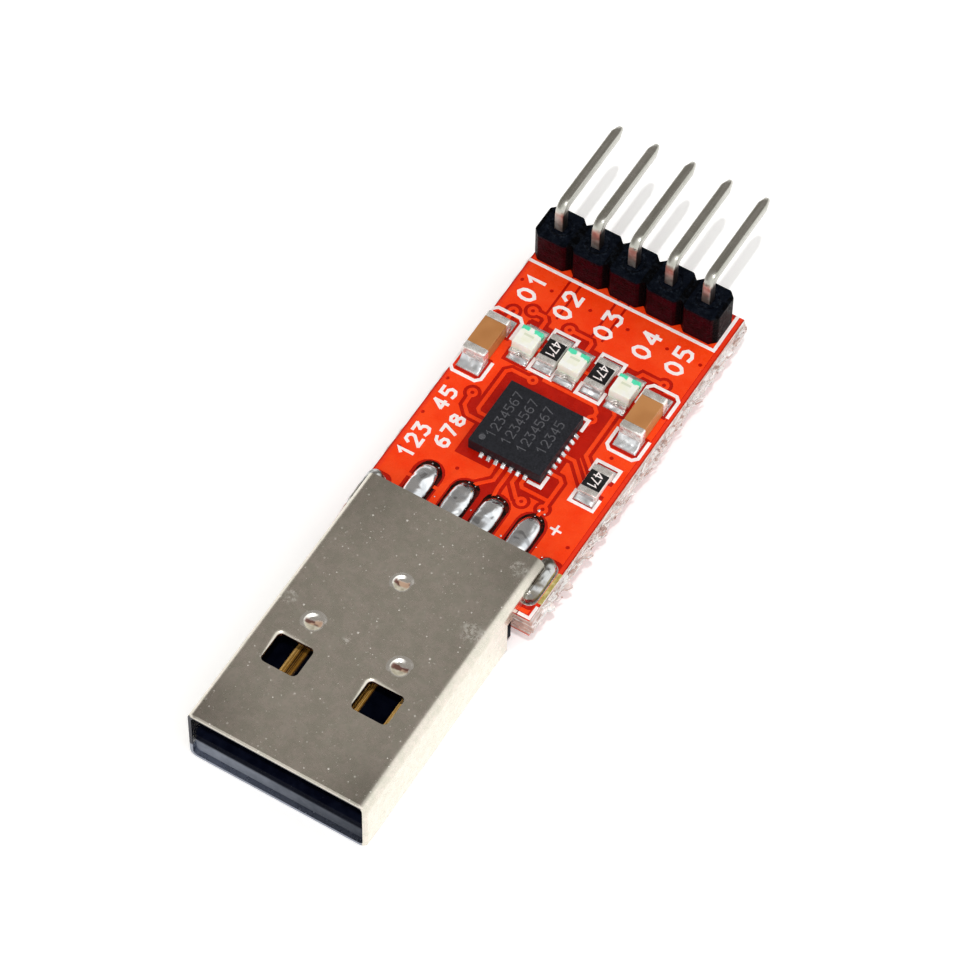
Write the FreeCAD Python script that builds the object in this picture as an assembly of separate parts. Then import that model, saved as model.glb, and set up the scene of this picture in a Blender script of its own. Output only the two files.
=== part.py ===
import FreeCAD, Part
import math
import os

os.makedirs("parts", exist_ok=True)
Vector = FreeCAD.Vector

# A small circuit board between a USB plug and a five-pin right-angle header.
# Lengths are millimetres. The drawing datum is the middle of the board's front edge,
# on the surface the module rests on: X runs across, Y from plug to pins, Z up.

# Plug shell, folded from sheet
shell_width = 12.0
shell_height = 4.5
sheet = 0.3
shell_round = 0.6
mouth_bevel = 0.1
shell_floor_length = 15.2
floor_to_board = 0.95
shell_over_board = 3.15
plug_mid_x = -0.275

# What is punched and pressed into the shell
punch_offset_x = -0.2
window_spread = 3.03
window_width = 2.45
window_length = 2.2
window_from_mouth = 5.15
window_round = 0.35
coin_spread = 2.9
coin_from_mouth = 8.85
coin_size = 1.25
coin_depth = 0.16
coin_floor_share = 0.5
round_coin_from_mouth = 13.7
round_coin_size = 1.15
round_coin_depth = 0.1
seam_width = 0.1
seam_depth = 0.12
seam_key_from_mouth = 10.2
seam_key_size = 1.3
seam_key_flare = 0.25
tab_length = 1.8
tab_from_shell_back = 0.3
tab_below_board = 0.25
slot_clear = 0.12

# Board
board_beyond_shell = 1.25
board_length = 24.9
board_top_z = 3.05
laminate_thickness = 1.54
mask_thickness = 0.03
copper_thickness = 0.04
pad_thickness = 0.05
ink_thickness = 0.02
score_depth = 0.5
score_inset = 0.13
snap_reach = 0.14
snap_step = 0.7
snap_root = 0.2
snap_pattern = (0.4, 0.9, 0.55, 1, 0.3, 0.75, 0.5)
burr_width = 0.9
burr_thickness = 0.34
burrs_right = ((1.9, 0.42), (3.65, 0.55), (6.1, 0.48), (7.9, 0.34), (9.6, 0.3), (12.4, 0.2), (14.5, 0.28),
               (18.9, 0.18), (22.7, 0.3))
bare_patch_width = 0.27
bare_patch_length = 2.4
bare_patch_from_tab = 0.25

# Plug contacts and plastic
contact_offset_x = 0.1
contact_spreads = (-3.5, -1.0, 1.0, 3.5)
contact_width = 0.9
contact_sheet = 0.25
contact_from_mouth = 1.5
contact_proud = 0.05
rib_width = 0.32
rib_height = 0.05
rib_from_contact_end = 0.4
riser_to_board = 0.55
tongue_thickness = 1.95
tongue_from_mouth = 0.35
tongue_lead_in = 0.35
hollow_depth = 11.9
plastic_to_board = 0.05
bridge_side_gap = 0.4
bridge_lift = 0.02
bridge_from_shell_back = 0.5

# Pads and solder of the plug
contact_pad_width = 1.3
contact_pad_from_bridge = 0.1
contact_pad_past_shell = 3.1
contact_pad_clear = 0.36
tail_from_pad_end = 0.5
contact_bead_height = 0.52
tab_pad_width = 1.24
tab_pad_round = 0.55
tab_pad_past_tab = 1.25
tab_pad_before_tab = 0.25
tab_bead_height = 0.85
bead_inset = 0.02

# Header
pin_count = 5
pitch = 2.54
header_from_left_side = 0.02
header_from_right_side = 0.53
header_from_board_back = 0.21
header_depth = 2.54
header_height = 2.54
header_corner = 0.4
pin_side = 0.64
pin_rise = 1.95
pin_reach = 7.0
pin_bend_inner = 0.25
pin_taper_length = 0.7
pin_taper_side = 0.17
pin_hole_size = 1.0
pin_pad_size = 1.7
pin_joint_size = 1.6
pin_joint_tip_size = 0.8
pin_joint_height = 0.75

# Main chip
chip_x = -0.175
chip_y = 10.85
chip_side = 4.94
chip_height = 0.85
chip_mark_size = 0.52
chip_mark_depth = 0.04
chip_mark_inset = 0.6
land_count = 7
land_pitch = 0.5
land_width = 0.24
land_length = 0.4
land_height = 0.2
land_joint = 0.25

# Resistors
resistor_width = 1.25
resistor_length = 2.05
resistor_height = 0.55
resistor_end = 0.4
resistor_wrap = 0.05
resistor_coat_inset = 0.02
resistor_pad_out = 0.4
resistor_pad_side = 0.02
resistor_row_xs = (-1.775, 1.505)
resistor_row_y = 16.67
lone_resistor_from_side = 1.54
lone_resistor_y = 9.97

# LEDs
led_width = 1.4
led_length = 2.2
led_height = 0.85
led_carrier_height = 0.36
led_end = 0.28
led_end_notch = 0.44
led_lens_slope = 0.12
led_pad_out = 0.32
led_pad_side = -0.02
led_xs = (-3.425, -0.245, 3.275)
led_y = 16.47

# Capacitors
capacitor_width = 1.55
capacitor_length = 3.15
capacitor_height = 1.2
capacitor_end = 0.52
capacitor_end_step = 0.04
capacitor_end_bevel = 0.08
capacitor_pad_out = 0.68
capacitor_pad_side = 0.0
capacitors_from_side = (1.05, 1.4)
capacitor_y = 15.27

# Solder that climbs from a pad to the end of a part
joint_inset = 0.03
joint_foot_height = 0.05
joint_crest = 0.12

# Copper pattern: widths, gaps and margins
track_width = 0.24
track_gap = 0.22
wide_track_width = 0.55
wide_track_gap = 0.16
via_size = 0.68
via_dimple_size = 0.26
least_island_area = 1.0
pour_left_margin = 0.15
pour_right_margin = 0.33
pour_end_margin = 0.3
chip_clear = 0.55
chip_clear_front = 0.65
chip_clear_back = 1.3
chip_bay_front = 0.28
chip_bay_back = 0.5
row_clear_side = 0.12
row_clear_front = 0.4
row_clear_back = 0.7
under_pad_clear = 0.3
thermal_width = 0.24
thermal_from_pad_end = 1.3

# Tracks from the chip: how far each of the front ones runs straight, then the bends
first_front_land = 3
front_track_runs = (0.93, 1.33, 0.51, 0.28)
front_track_bends = (((-0.93, 6.4),), (), ((1.58, 6.82), (1.97, 6.78)), ((1.5, 7.62), (3.32, 7.62)))
contact_track_shifts = (0.15, -0.4)
right_track_bends = ((3.08, 9.35), (3.32, 9.1))
right_short_bends = ((3.15, 10.85), (4.45, 9.55), (4.63, 9.15))
left_back_bends = ((-3.37, 10.85), (-3.57, 11.05), (-3.57, 14.22), (-3.32, 14.47), (-1.88, 14.47))
left_front_bends = ((-3.9, 10.35), (-4.42, 10.87), (-4.47, 11.85))

# Tracks between parts and vias
part_tracks = (
    ((3.22, 15.2), (3.55, 14.85), (3.55, 11.5), (4.43, 10.7)),
    ((-1.28, 15.25), (-1.28, 14.82), (2.18, 14.82), (2.52, 14.47), (2.52, 13.4)),
    ((-4.47, 18.8), (-3.62, 18.8), (-3.42, 18.55), (-3.42, 17.65)),
    ((-1.88, 18.75), (-0.42, 18.75), (-0.25, 18.55), (-0.25, 17.65)),
    ((4.92, 18.25), (3.47, 18.25), (3.27, 17.85)),
    ((-5.47, 18.17), (-5.47, 17.35)),
    ((-2.88, 16.55), (-2.38, 16.55)),
    ((0.33, 16.6), (0.93, 16.6)),
    ((3.83, 16.65), (4.43, 16.65)),
)
wide_track_xs = (-3.32, -0.17)
wide_track_end_y = 19.0
wide_track_under_header = 0.3
signal_vias = (
    (1.97, 6.78), (3.32, 6.95), (-1.88, 14.47), (2.52, 13.9), (-4.47, 11.85),
    (-4.47, 18.8), (-1.88, 18.75), (4.92, 18.25), (-5.47, 18.17),
)
ground_vias = (
    (-2.42, 6.8), (-6.12, 6.33), (-6.25, 9.15), (-4.27, 8.95), (-6.27, 11.97), (4.92, 12.15), (5.92, 5.45),
    (-6.22, 20.45), (-4.27, 20.65), (-1.57, 20.63), (1.05, 20.6), (3.75, 20.63), (6.02, 20.65),
)

# White printing
line_width = 0.22
thin_line = 0.15
ink_gap = 0.03
resistor_frame_out = 0.6
resistor_frame_side = 0.16
resistor_frame_leg = 0.78
capacitor_frame_out = 1.08
capacitor_frame_side = 0.28
capacitor_frame_leg = 1.55
capacitor_frame_cut = 0.28
header_line_gap = 0.2
header_line_from_side = 0.43
chip_mark_side_gap = 0.15
chip_mark_front_gap = 0.21
chip_mark_back_gap = 0.38
chip_mark_length = 0.8
plug_mark_from_side = 0.09
plug_mark_from_front = 0.14
plug_mark_length = 0.8
plus_x = 4.725
plus_y = 6.1
plus_size = 0.76

# Levels and faces that follow from these sizes
header_width = pin_count * pitch
board_for_header = header_from_left_side + header_width + header_from_right_side
board_half = max(shell_width + board_beyond_shell, board_for_header) / 2
header_mid_x = header_from_left_side + header_width / 2 - board_half
laminate_top_z = board_top_z - mask_thickness
laminate_bottom_z = laminate_top_z - laminate_thickness
board_bottom_z = laminate_bottom_z - mask_thickness
copper_top_z = board_top_z + copper_thickness
pad_top_z = board_top_z + pad_thickness
ink_top_z = copper_top_z + ink_thickness
under_copper_z = board_bottom_z - copper_thickness
mouth_y = -(shell_floor_length + floor_to_board)
shell_back_y = shell_over_board
shell_half = shell_width / 2
room_half = shell_half - sheet
room_top_z = shell_height - sheet
tongue_top_z = sheet + tongue_thickness
tab_back_y = shell_back_y - tab_from_shell_back
tab_front_y = tab_back_y - tab_length
bridge_back_y = shell_back_y - bridge_from_shell_back
contact_xs = [plug_mid_x + contact_offset_x + spread for spread in contact_spreads]
contact_pad_front_y = bridge_back_y + contact_pad_from_bridge
contact_pad_end_y = shell_back_y + contact_pad_past_shell
header_back_y = board_length - header_from_board_back
header_front_y = header_back_y - header_depth
header_bottom_z = ink_top_z
header_top_z = header_bottom_z + header_height
pin_y = header_front_y + header_depth / 2
pin_axis_z = header_top_z + pin_rise
pin_tip_y = pin_y + pin_reach
pin_xs = [header_mid_x + (i - (pin_count - 1) / 2) * pitch for i in range(pin_count)]
chip_half = chip_side / 2
chip_front_y = chip_y - chip_half
chip_back_y = chip_y + chip_half
chip_left_x = chip_x - chip_half
chip_right_x = chip_x + chip_half
chip_height_z = pad_top_z + chip_height
resistor_places = [(x, resistor_row_y) for x in resistor_row_xs]
resistor_places.append((board_half - lone_resistor_from_side, lone_resistor_y))
led_places = [(x, led_y) for x in led_xs]
capacitor_places = [(-board_half + capacitors_from_side[0], capacitor_y),
                    (board_half - capacitors_from_side[1], capacitor_y)]
beyond = shell_height / 4

# The row's origin is the middle of the base, so every solid is moved by this
longest_burr = max(reach for y, reach in burrs_right)
to_origin = Vector(-(longest_burr - snap_reach) / 2, -(mouth_y + pin_tip_y) / 2, 0)


def box(x0, x1, y0, y1, z0, z1):
    corner = Vector(min(x0, x1), min(y0, y1), min(z0, z1))
    return Part.makeBox(abs(x1 - x0), abs(y1 - y0), abs(z1 - z0), corner)


def extrude_ring(ring, along):
    return Part.Face(Part.makePolygon(ring + ring[:1])).extrude(along)


def prism(points, z0, z1):
    """Upright prism on a closed outline given as (x, y) points."""
    return extrude_ring([Vector(x, y, z0) for x, y in points], Vector(0, 0, z1 - z0))


def prism_along_x(points, x0, x1):
    return extrude_ring([Vector(x0, y, z) for y, z in points], Vector(x1 - x0, 0, 0))


def prism_along_y(points, y0, y1):
    return extrude_ring([Vector(x, y0, z) for x, z in points], Vector(0, y1 - y0, 0))


def disc(x, y, size, z0, z1):
    return Part.makeCylinder(size / 2, z1 - z0, Vector(x, y, z0))


def ring(x, y, size, sides=16):
    """Round outline as a many-sided one, since the board holds many of them."""
    turns = [2 * math.pi * i / sides for i in range(sides)]
    return [(x + size / 2 * math.cos(a), y + size / 2 * math.sin(a)) for a in turns]


def small_round(x, y, size, z0, z1, sides=16):
    return prism(ring(x, y, size, sides), z0, z1)


def layered(levels):
    """Solid through flat outlines at rising levels, each with as many points as the next."""
    loops = [[Vector(x, y, z) for x, y in points] for points, z in levels]
    faces = [loops[0], loops[-1]]
    for low, high in zip(loops, loops[1:]):
        for i, corner in enumerate(low):
            faces.append([low[i - 1], corner, high[i], high[i - 1]])
    return Part.makeSolid(Part.makeShell([Part.Face(Part.makePolygon(face + face[:1])) for face in faces]))


def slab(x0, x1, y0, y1, z0, z1, radius):
    """Upright slab with round corners."""
    solid = box(x0, x1, y0, y1, z0, z1)
    upright = [e for e in solid.Edges if e.BoundBox.ZLength > (z1 - z0) / 2]
    return solid.makeFillet(radius, upright)


def round_bar(mid_x, half, low, high, radius, y0, y1):
    """Bar along Y with a round-cornered section."""
    solid = box(mid_x - half, mid_x + half, y0, y1, low, high)
    lengthwise = [e for e in solid.Edges if e.BoundBox.YLength > (y1 - y0) / 2]
    return solid.makeFillet(radius, lengthwise)


def bead(x, y0, y1, z, width, height, end_steps=5):
    """Domed run of solder along Y on level z, with round ends."""
    half = width / 2
    turns = [math.pi * i / end_steps for i in range(end_steps + 1)]

    def outline(reach):
        back = [(x + reach * math.cos(a), y1 - half + reach * math.sin(a)) for a in turns]
        front = [(x - reach * math.cos(a), y0 + half - reach * math.sin(a)) for a in turns]
        return back + front

    rises = (0, 0.55, 0.87, 1)
    return layered([(outline(half * math.sqrt(1 - rise ** 2) + joint_crest * rise), z + height * rise)
                    for rise in rises])


def join(solids):
    if len(solids) == 1:
        return solids[0]
    return solids[0].multiFuse(solids[1:]).removeSplitter()


def heading(start, end):
    dx = end[0] - start[0]
    dy = end[1] - start[1]
    length = math.hypot(dx, dy)
    return dx / length, dy / length


def strip(points, width, z0, z1, overrun=0.0):
    """Flat strip of even width along a bent line, mitred at its corners."""
    headings = [heading(a, b) for a, b in zip(points, points[1:])]
    left = []
    right = []
    for i, (x, y) in enumerate(points):
        into = headings[max(i - 1, 0)]
        out = headings[min(i, len(headings) - 1)]
        if i == 0:
            x -= out[0] * overrun
            y -= out[1] * overrun
        if i == len(points) - 1:
            x += into[0] * overrun
            y += into[1] * overrun
        across = heading((0, 0), (-into[1] - out[1], into[0] + out[0]))
        reach = width / 2 / (into[0] * across[1] - into[1] * across[0])
        left.append((x + across[0] * reach, y + across[1] * reach))
        right.append((x - across[0] * reach, y - across[1] * reach))
    return prism(left + right[::-1], z0, z1)


def write(name, shape):
    moved = shape.copy()
    moved.translate(to_origin)
    moved.exportStep("parts/" + name + ".step")


# Plug shell
def punched_window(mid_x):
    front_y = mouth_y + window_from_mouth
    return slab(mid_x - window_width / 2, mid_x + window_width / 2, front_y, front_y + window_length,
                -beyond, shell_height + beyond, window_round)


def pressed_coin(mid_x):
    """Shallow round hollow with a sloping side, let into the top."""
    y = mouth_y + coin_from_mouth
    return layered([(ring(mid_x, y, coin_size * coin_floor_share), shell_height - coin_depth),
                    (ring(mid_x, y, coin_size), shell_height),
                    (ring(mid_x, y, coin_size), shell_height + beyond)])


def shell_seam():
    """Joint line of the folded sheet underneath, with one keyed tongue that locks it."""
    key_y = mouth_y + seam_key_from_mouth
    key_back_y = key_y + seam_key_size
    reach_x = plug_mid_x + seam_key_size / 2
    line = [(plug_mid_x, mouth_y - beyond), (plug_mid_x, key_y), (reach_x, key_y - seam_key_flare),
            (reach_x, key_back_y + seam_key_flare), (plug_mid_x, key_back_y), (plug_mid_x, shell_back_y)]
    return strip(line, seam_width, -beyond, seam_depth)


def make_shell():
    outside = round_bar(plug_mid_x, shell_half, 0, shell_height, shell_round, mouth_y, shell_back_y)
    rim = [e for e in outside.Edges if e.BoundBox.YMax < mouth_y + mouth_bevel / 2]
    outside = outside.makeChamfer(mouth_bevel, rim)
    inside = round_bar(plug_mid_x, room_half, sheet, room_top_z, shell_round - sheet,
                       mouth_y - beyond, shell_back_y + beyond)
    below_board = box(plug_mid_x - shell_width, plug_mid_x + shell_width, mouth_y + shell_floor_length,
                      shell_back_y + beyond, -beyond, pad_top_z)
    cuts = [inside, below_board, shell_seam()]
    punch_x = plug_mid_x + punch_offset_x
    for side in (-1, 1):
        cuts.append(punched_window(punch_x + side * window_spread))
        cuts.append(pressed_coin(punch_x + side * coin_spread))
    cuts.append(small_round(punch_x, mouth_y + round_coin_from_mouth, round_coin_size,
                            shell_height - round_coin_depth, shell_height + beyond))
    tabs = []
    for side in (-1, 1):
        tabs.append(box(plug_mid_x + side * room_half, plug_mid_x + side * shell_half, tab_front_y, tab_back_y,
                        board_bottom_z - tab_below_board, pad_top_z + sheet))
    return join([outside.cut(cuts)] + tabs)


def tab_slots(clear):
    slots = []
    for side in (-1, 1):
        slots.append(box(plug_mid_x + side * (room_half - clear), plug_mid_x + side * (shell_half + clear),
                         tab_front_y - clear, tab_back_y + clear, -beyond, shell_height))
    return slots


# Plug contacts: a ribbed blade on the tongue, a riser and a tail on the board
def make_contact(x):
    half = contact_width / 2
    front_y = mouth_y + contact_from_mouth
    top = tongue_top_z + contact_proud
    low = top - contact_sheet
    tail_top = pad_top_z + contact_sheet
    tail_end_y = contact_pad_end_y - tail_from_pad_end
    riser_back_y = -riser_to_board
    riser_front_y = riser_back_y - contact_sheet
    profile = [(front_y, low), (front_y, top), (riser_front_y, top), (riser_front_y, tail_top),
               (tail_end_y, tail_top), (tail_end_y, pad_top_z), (riser_back_y, pad_top_z), (riser_back_y, low)]
    blade = prism_along_x(profile, x - half, x + half)
    rib = box(x - rib_width / 2, x + rib_width / 2, front_y + rib_from_contact_end,
              mouth_y + hollow_depth - contact_sheet, low, top + rib_height)
    return join([blade, rib])


# Plug plastic: tongue, block behind the hollow, and bridge over the board's edge
def make_plastic(contacts):
    front_y = mouth_y + tongue_from_mouth
    block = round_bar(plug_mid_x, room_half, sheet, room_top_z, shell_round - sheet, front_y, -plastic_to_board)
    hollow = box(plug_mid_x - shell_half, plug_mid_x + shell_half, mouth_y - beyond, mouth_y + hollow_depth,
                 tongue_top_z, shell_height)
    lead_in = prism_along_x([(front_y - sheet, tongue_top_z - tongue_lead_in - sheet),
                             (front_y - sheet, tongue_top_z + sheet),
                             (front_y + tongue_lead_in + sheet, tongue_top_z + sheet)],
                            plug_mid_x - shell_half, plug_mid_x + shell_half)
    bridge = box(plug_mid_x - room_half + bridge_side_gap, plug_mid_x + room_half - bridge_side_gap,
                 -plastic_to_board - sheet, bridge_back_y, pad_top_z + bridge_lift, room_top_z)
    return join([block.cut([hollow, lead_in]), bridge]).cut(contacts)


# Board laminate: scored and snapped along both sides
def snapped_web(side):
    """Broken web left between the two score lines, with an uneven face."""
    face_x = side * (board_half + score_inset)
    steps = round(board_length / snap_step)
    rough = []
    for i in range(steps + 1):
        share = snap_pattern[(i + side) % len(snap_pattern)]
        rough.append((face_x + side * snap_reach * share, board_length * i / steps))
    root = [(face_x - side * snap_root, board_length), (face_x - side * snap_root, 0)]
    return prism(rough + root, laminate_bottom_z + score_depth, laminate_top_z - score_depth)


def make_burr(y, reach, low):
    """Splinter that the snapping left on the right side."""
    face_x = board_half + score_inset
    outline = [(face_x - snap_root, y - burr_width / 2), (face_x + reach * 0.7, y - burr_width / 4),
               (face_x + reach, y + burr_width / 8), (face_x + reach * 0.3, y + burr_width / 4),
               (face_x - snap_root, y + burr_width / 2)]
    return prism(outline, low, low + burr_thickness)


def make_laminate():
    half = board_half
    web_half = board_half + score_inset
    web_low = laminate_bottom_z + score_depth
    web_high = laminate_top_z - score_depth
    section = [(-half, laminate_bottom_z), (-web_half, web_low), (-web_half, web_high), (-half, laminate_top_z),
               (half, laminate_top_z), (web_half, web_high), (web_half, web_low), (half, laminate_bottom_z)]
    burrs = [make_burr(y, reach, web_low + (web_high - web_low - burr_thickness) * (i % 3) / 2)
             for i, (y, reach) in enumerate(burrs_right)]
    return join([prism_along_y(section, 0, board_length), snapped_web(-1), snapped_web(1)] + burrs)


def board_layer(z0, z1):
    return box(-board_half, board_half, 0, board_length, z0, z1)


def pin_holes():
    return [small_round(x, pin_y, pin_hole_size, -beyond, shell_height) for x in pin_xs]


def bare_patch():
    """Strip beside the right tab where the mask has come away with the score."""
    front_y = tab_front_y + bare_patch_from_tab
    return box(board_half - bare_patch_width, board_half + beyond, front_y, front_y + bare_patch_length,
               laminate_top_z, shell_height)


# Pads on the top face
def end_pads(places, half_x, near, far, grow, z1):
    """Two pads for each part, from near to far on both sides of its middle."""
    pads = []
    for x, y in places:
        for side in (-1, 1):
            pads.append(box(x - half_x - grow, x + half_x + grow, y + side * (near - grow),
                            y + side * (far + grow), board_top_z, z1))
    return pads


def part_pads(grow, z1):
    resistor_half = resistor_length / 2
    led_half = led_length / 2
    capacitor_half = capacitor_length / 2
    pads = end_pads(resistor_places, resistor_width / 2 + resistor_pad_side, resistor_half - resistor_end,
                    resistor_half + resistor_pad_out, grow, z1)
    pads += end_pads(led_places, led_width / 2 + led_pad_side, led_half - led_end,
                     led_half + led_pad_out, grow, z1)
    pads += end_pads(capacitor_places, capacitor_width / 2 + capacitor_pad_side, capacitor_half - capacitor_end,
                     capacitor_half + capacitor_pad_out, grow, z1)
    return pads


def contact_pads(grow, z1):
    pads = []
    half = contact_pad_width / 2 + grow
    round_y = contact_pad_end_y - contact_pad_width / 2
    for x in contact_xs:
        run = box(x - half, x + half, contact_pad_front_y, round_y, board_top_z, z1)
        pads.append(join([run, small_round(x, round_y, 2 * half, board_top_z, z1)]))
    return pads


def tab_pad_x(side):
    """Middle of a tab's pad: under the shell's wall, but no further out than the board allows."""
    return side * min(side * plug_mid_x + shell_half, board_half - tab_pad_width / 2)


def tab_pads(grow, z1):
    pads = []
    half = tab_pad_width / 2 + grow
    for side in (-1, 1):
        x = tab_pad_x(side)
        pads.append(slab(x - half, x + half, tab_front_y - tab_pad_before_tab - grow,
                         tab_back_y + tab_pad_past_tab + grow, board_top_z, z1, tab_pad_round))
    return pads


# Main chip, its lands drawn for the front side and turned to the other three
def around_chip(solid):
    turned = []
    for quarter in range(4):
        turned.append(solid.copy())
        turned[-1].rotate(Vector(chip_x, chip_y, 0), Vector(0, 0, 1), 90 * quarter)
    return turned


def land_offset(index):
    return (index - (land_count - 1) / 2) * land_pitch


def chip_land_solids():
    pads = []
    lands = []
    joints = []
    out_y = chip_front_y - land_joint
    in_y = chip_front_y + land_length
    knee_y = chip_front_y - land_joint * 0.45
    for i in range(land_count):
        low = chip_x + land_offset(i) - land_width / 2
        high = low + land_width
        pads += around_chip(box(low, high, out_y, in_y, board_top_z, pad_top_z))
        lands += around_chip(box(low, high, chip_front_y, in_y, pad_top_z, pad_top_z + land_height))
        climb = [(chip_front_y, pad_top_z), (chip_front_y, pad_top_z + land_height * 0.9),
                 (knee_y, pad_top_z + land_height * 0.65), (out_y, pad_top_z)]
        joints += around_chip(prism_along_x(climb, low, high))
    return pads, lands, joints


def make_chip_body(lands):
    body = box(chip_left_x, chip_right_x, chip_front_y, chip_back_y, pad_top_z, chip_height_z)
    mark = disc(chip_left_x + chip_mark_inset, chip_front_y + chip_mark_inset, chip_mark_size,
                chip_height_z - chip_mark_depth, chip_height_z + beyond)
    return body.cut(lands + [mark])


# Copper pattern on the top face: tracks, round via lands and the pour round them
def chip_tracks():
    """Tracks that start at the chip's lands; three of them end on contact pads."""
    front_y = chip_front_y - land_joint
    left_x = chip_left_x - land_joint
    right_x = chip_right_x + land_joint
    pad_y = contact_pad_end_y - track_width / 2
    tracks = []
    for i, bends in enumerate(front_track_bends):
        x = chip_x + land_offset(first_front_land + i)
        track = [(x, front_y), (x, front_y - front_track_runs[i])] + list(bends)
        if i < len(contact_track_shifts):
            track.append((contact_xs[i + 1] + contact_track_shifts[i], pad_y))
        tracks.append(track)
    first_y = chip_y + land_offset(0)
    middle_y = chip_y + land_offset(3)
    tracks.append([(right_x, first_y)] + list(right_track_bends) + [(contact_xs[3], pad_y)])
    tracks.append([(right_x, middle_y)] + list(right_short_bends))
    tracks.append([(left_x, middle_y)] + list(left_back_bends))
    tracks.append([(left_x, chip_y + land_offset(2))] + list(left_front_bends))
    return tracks


def chip_keepout():
    """Bare ground under and beside the chip, where the pour stops."""
    left = chip_left_x - chip_clear
    right = chip_right_x + chip_clear
    front = chip_front_y - chip_clear_front
    back = chip_back_y + chip_clear_back
    bay_y = chip_y + land_offset(0)
    step_y = chip_y + land_offset(3) + land_width
    return prism([(left, front), (right + chip_bay_front, front), (right + chip_bay_front, bay_y), (right, bay_y),
                  (right, step_y), (right + chip_bay_back, step_y), (right + chip_bay_back, back), (left, back)],
                 board_top_z, copper_top_z)


def row_keepout():
    """Bare ground round the row of small parts."""
    half_x = led_width / 2 + row_clear_side
    half_y = led_length / 2
    return box(led_xs[0] - half_x, led_xs[-1] + half_x, led_y - half_y - row_clear_front,
               led_y + half_y + row_clear_back, board_top_z, copper_top_z)


def make_copper(pads, holes):
    z0 = board_top_z
    z1 = copper_top_z
    pour = box(-board_half + pour_left_margin, board_half - pour_right_margin, pour_end_margin,
               board_length - pour_end_margin, z0, z1)
    clear = [chip_keepout(), row_keepout()]
    clear += part_pads(track_gap, z1) + contact_pads(contact_pad_clear, z1) + tab_pads(track_gap, z1)
    lines = []
    for line in chip_tracks() + list(part_tracks):
        lines.append(strip(line, track_width, z0, z1))
        clear.append(strip(line, track_width + 2 * track_gap, z0, z1, track_gap))
    for x in wide_track_xs:
        line = [(x, header_front_y + wide_track_under_header), (x, wide_track_end_y)]
        lines.append(strip(line, wide_track_width, z0, z1))
        clear.append(strip(line, wide_track_width + 2 * wide_track_gap, z0, z1))
    for x, y in signal_vias:
        lines.append(small_round(x, y, via_size, z0, z1))
        clear.append(small_round(x, y, via_size + 2 * track_gap, z0, z1))
    least_volume = least_island_area * copper_thickness
    islands = [island for island in pour.cut(clear).Solids if island.Volume > least_volume]
    land_x = chip_x + land_offset(2)
    lines.append(strip([(land_x, chip_front_y - land_joint), (land_x, chip_front_y - chip_clear_front)],
                       track_width, z0, z1, track_gap))
    thermal_y = contact_pad_end_y - thermal_from_pad_end
    reach = contact_pad_width / 2 + contact_pad_clear + track_gap
    lines.append(strip([(contact_xs[0] - reach, thermal_y), (contact_xs[0] + reach, thermal_y)],
                       thermal_width, z0, z1))
    dimples = [small_round(x, y, via_dimple_size, z0, z1, 10) for x, y in signal_vias + ground_vias]
    return join(islands + lines).cut(pads + dimples + holes + [bare_patch()])


# Underside: copper field, and a pad round each pin hole
def make_under_pads(holes):
    pads = [small_round(x, pin_y, pin_pad_size, under_copper_z, board_bottom_z) for x in pin_xs]
    return Part.makeCompound([pad.cut(holes) for pad in pads])


def make_under_copper():
    field = box(-board_half + pour_left_margin, board_half - pour_right_margin, pour_end_margin,
                board_length - pour_end_margin, under_copper_z, board_bottom_z)
    clear = [small_round(x, pin_y, pin_pad_size + 2 * under_pad_clear, -beyond, shell_height) for x in pin_xs]
    return field.cut(clear + tab_slots(slot_clear + 2 * under_pad_clear))


# White printing
def frame_lines(places, half_x, far, leg, cut=0.0):
    """Three-sided frame round each end of a part, with its two corners cut off if asked."""
    lines = []
    for x, y in places:
        for side in (-1, 1):
            far_y = y + side * far
            near_y = far_y - side * leg
            left = [(x - half_x, near_y), (x - half_x, far_y)]
            if cut:
                left[1:] = [(x - half_x, far_y - side * cut), (x - half_x + cut, far_y)]
            lines.append(left + [(2 * x - px, py) for px, py in reversed(left)])
    return lines


def corner_lines():
    """Marks at the chip's right corners and at the board's front corners."""
    x = chip_right_x + chip_mark_side_gap
    front_y = chip_front_y - chip_mark_front_gap
    back_y = chip_back_y + chip_mark_back_gap
    lines = [[(x - chip_mark_length, front_y), (x, front_y), (x, front_y + chip_mark_length)],
             [(x - chip_mark_length, back_y), (x, back_y), (x, back_y - chip_mark_length)]]
    y = plug_mark_from_front
    for side in (-1, 1):
        x = side * (board_half - plug_mark_from_side)
        start_x = plug_mid_x + side * (shell_half + line_width / 2 + ink_gap)
        lines.append([(start_x, y), (x, y), (x, y + plug_mark_length)])
    return lines


def header_line():
    y = header_front_y - header_line_gap
    x = board_half - header_line_from_side
    return [(-board_half + ink_gap, y), (x, y), (x, board_length - ink_gap)]


def part_rooms():
    rooms = []
    for places, width, length in ((resistor_places, resistor_width, resistor_length),
                                  (led_places, led_width, led_length),
                                  (capacitor_places, capacitor_width, capacitor_length)):
        for x, y in places:
            rooms.append(box(x - width / 2 - ink_gap, x + width / 2 + ink_gap, y - length / 2 - ink_gap,
                             y + length / 2 + ink_gap, board_top_z, ink_top_z))
    return rooms


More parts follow.
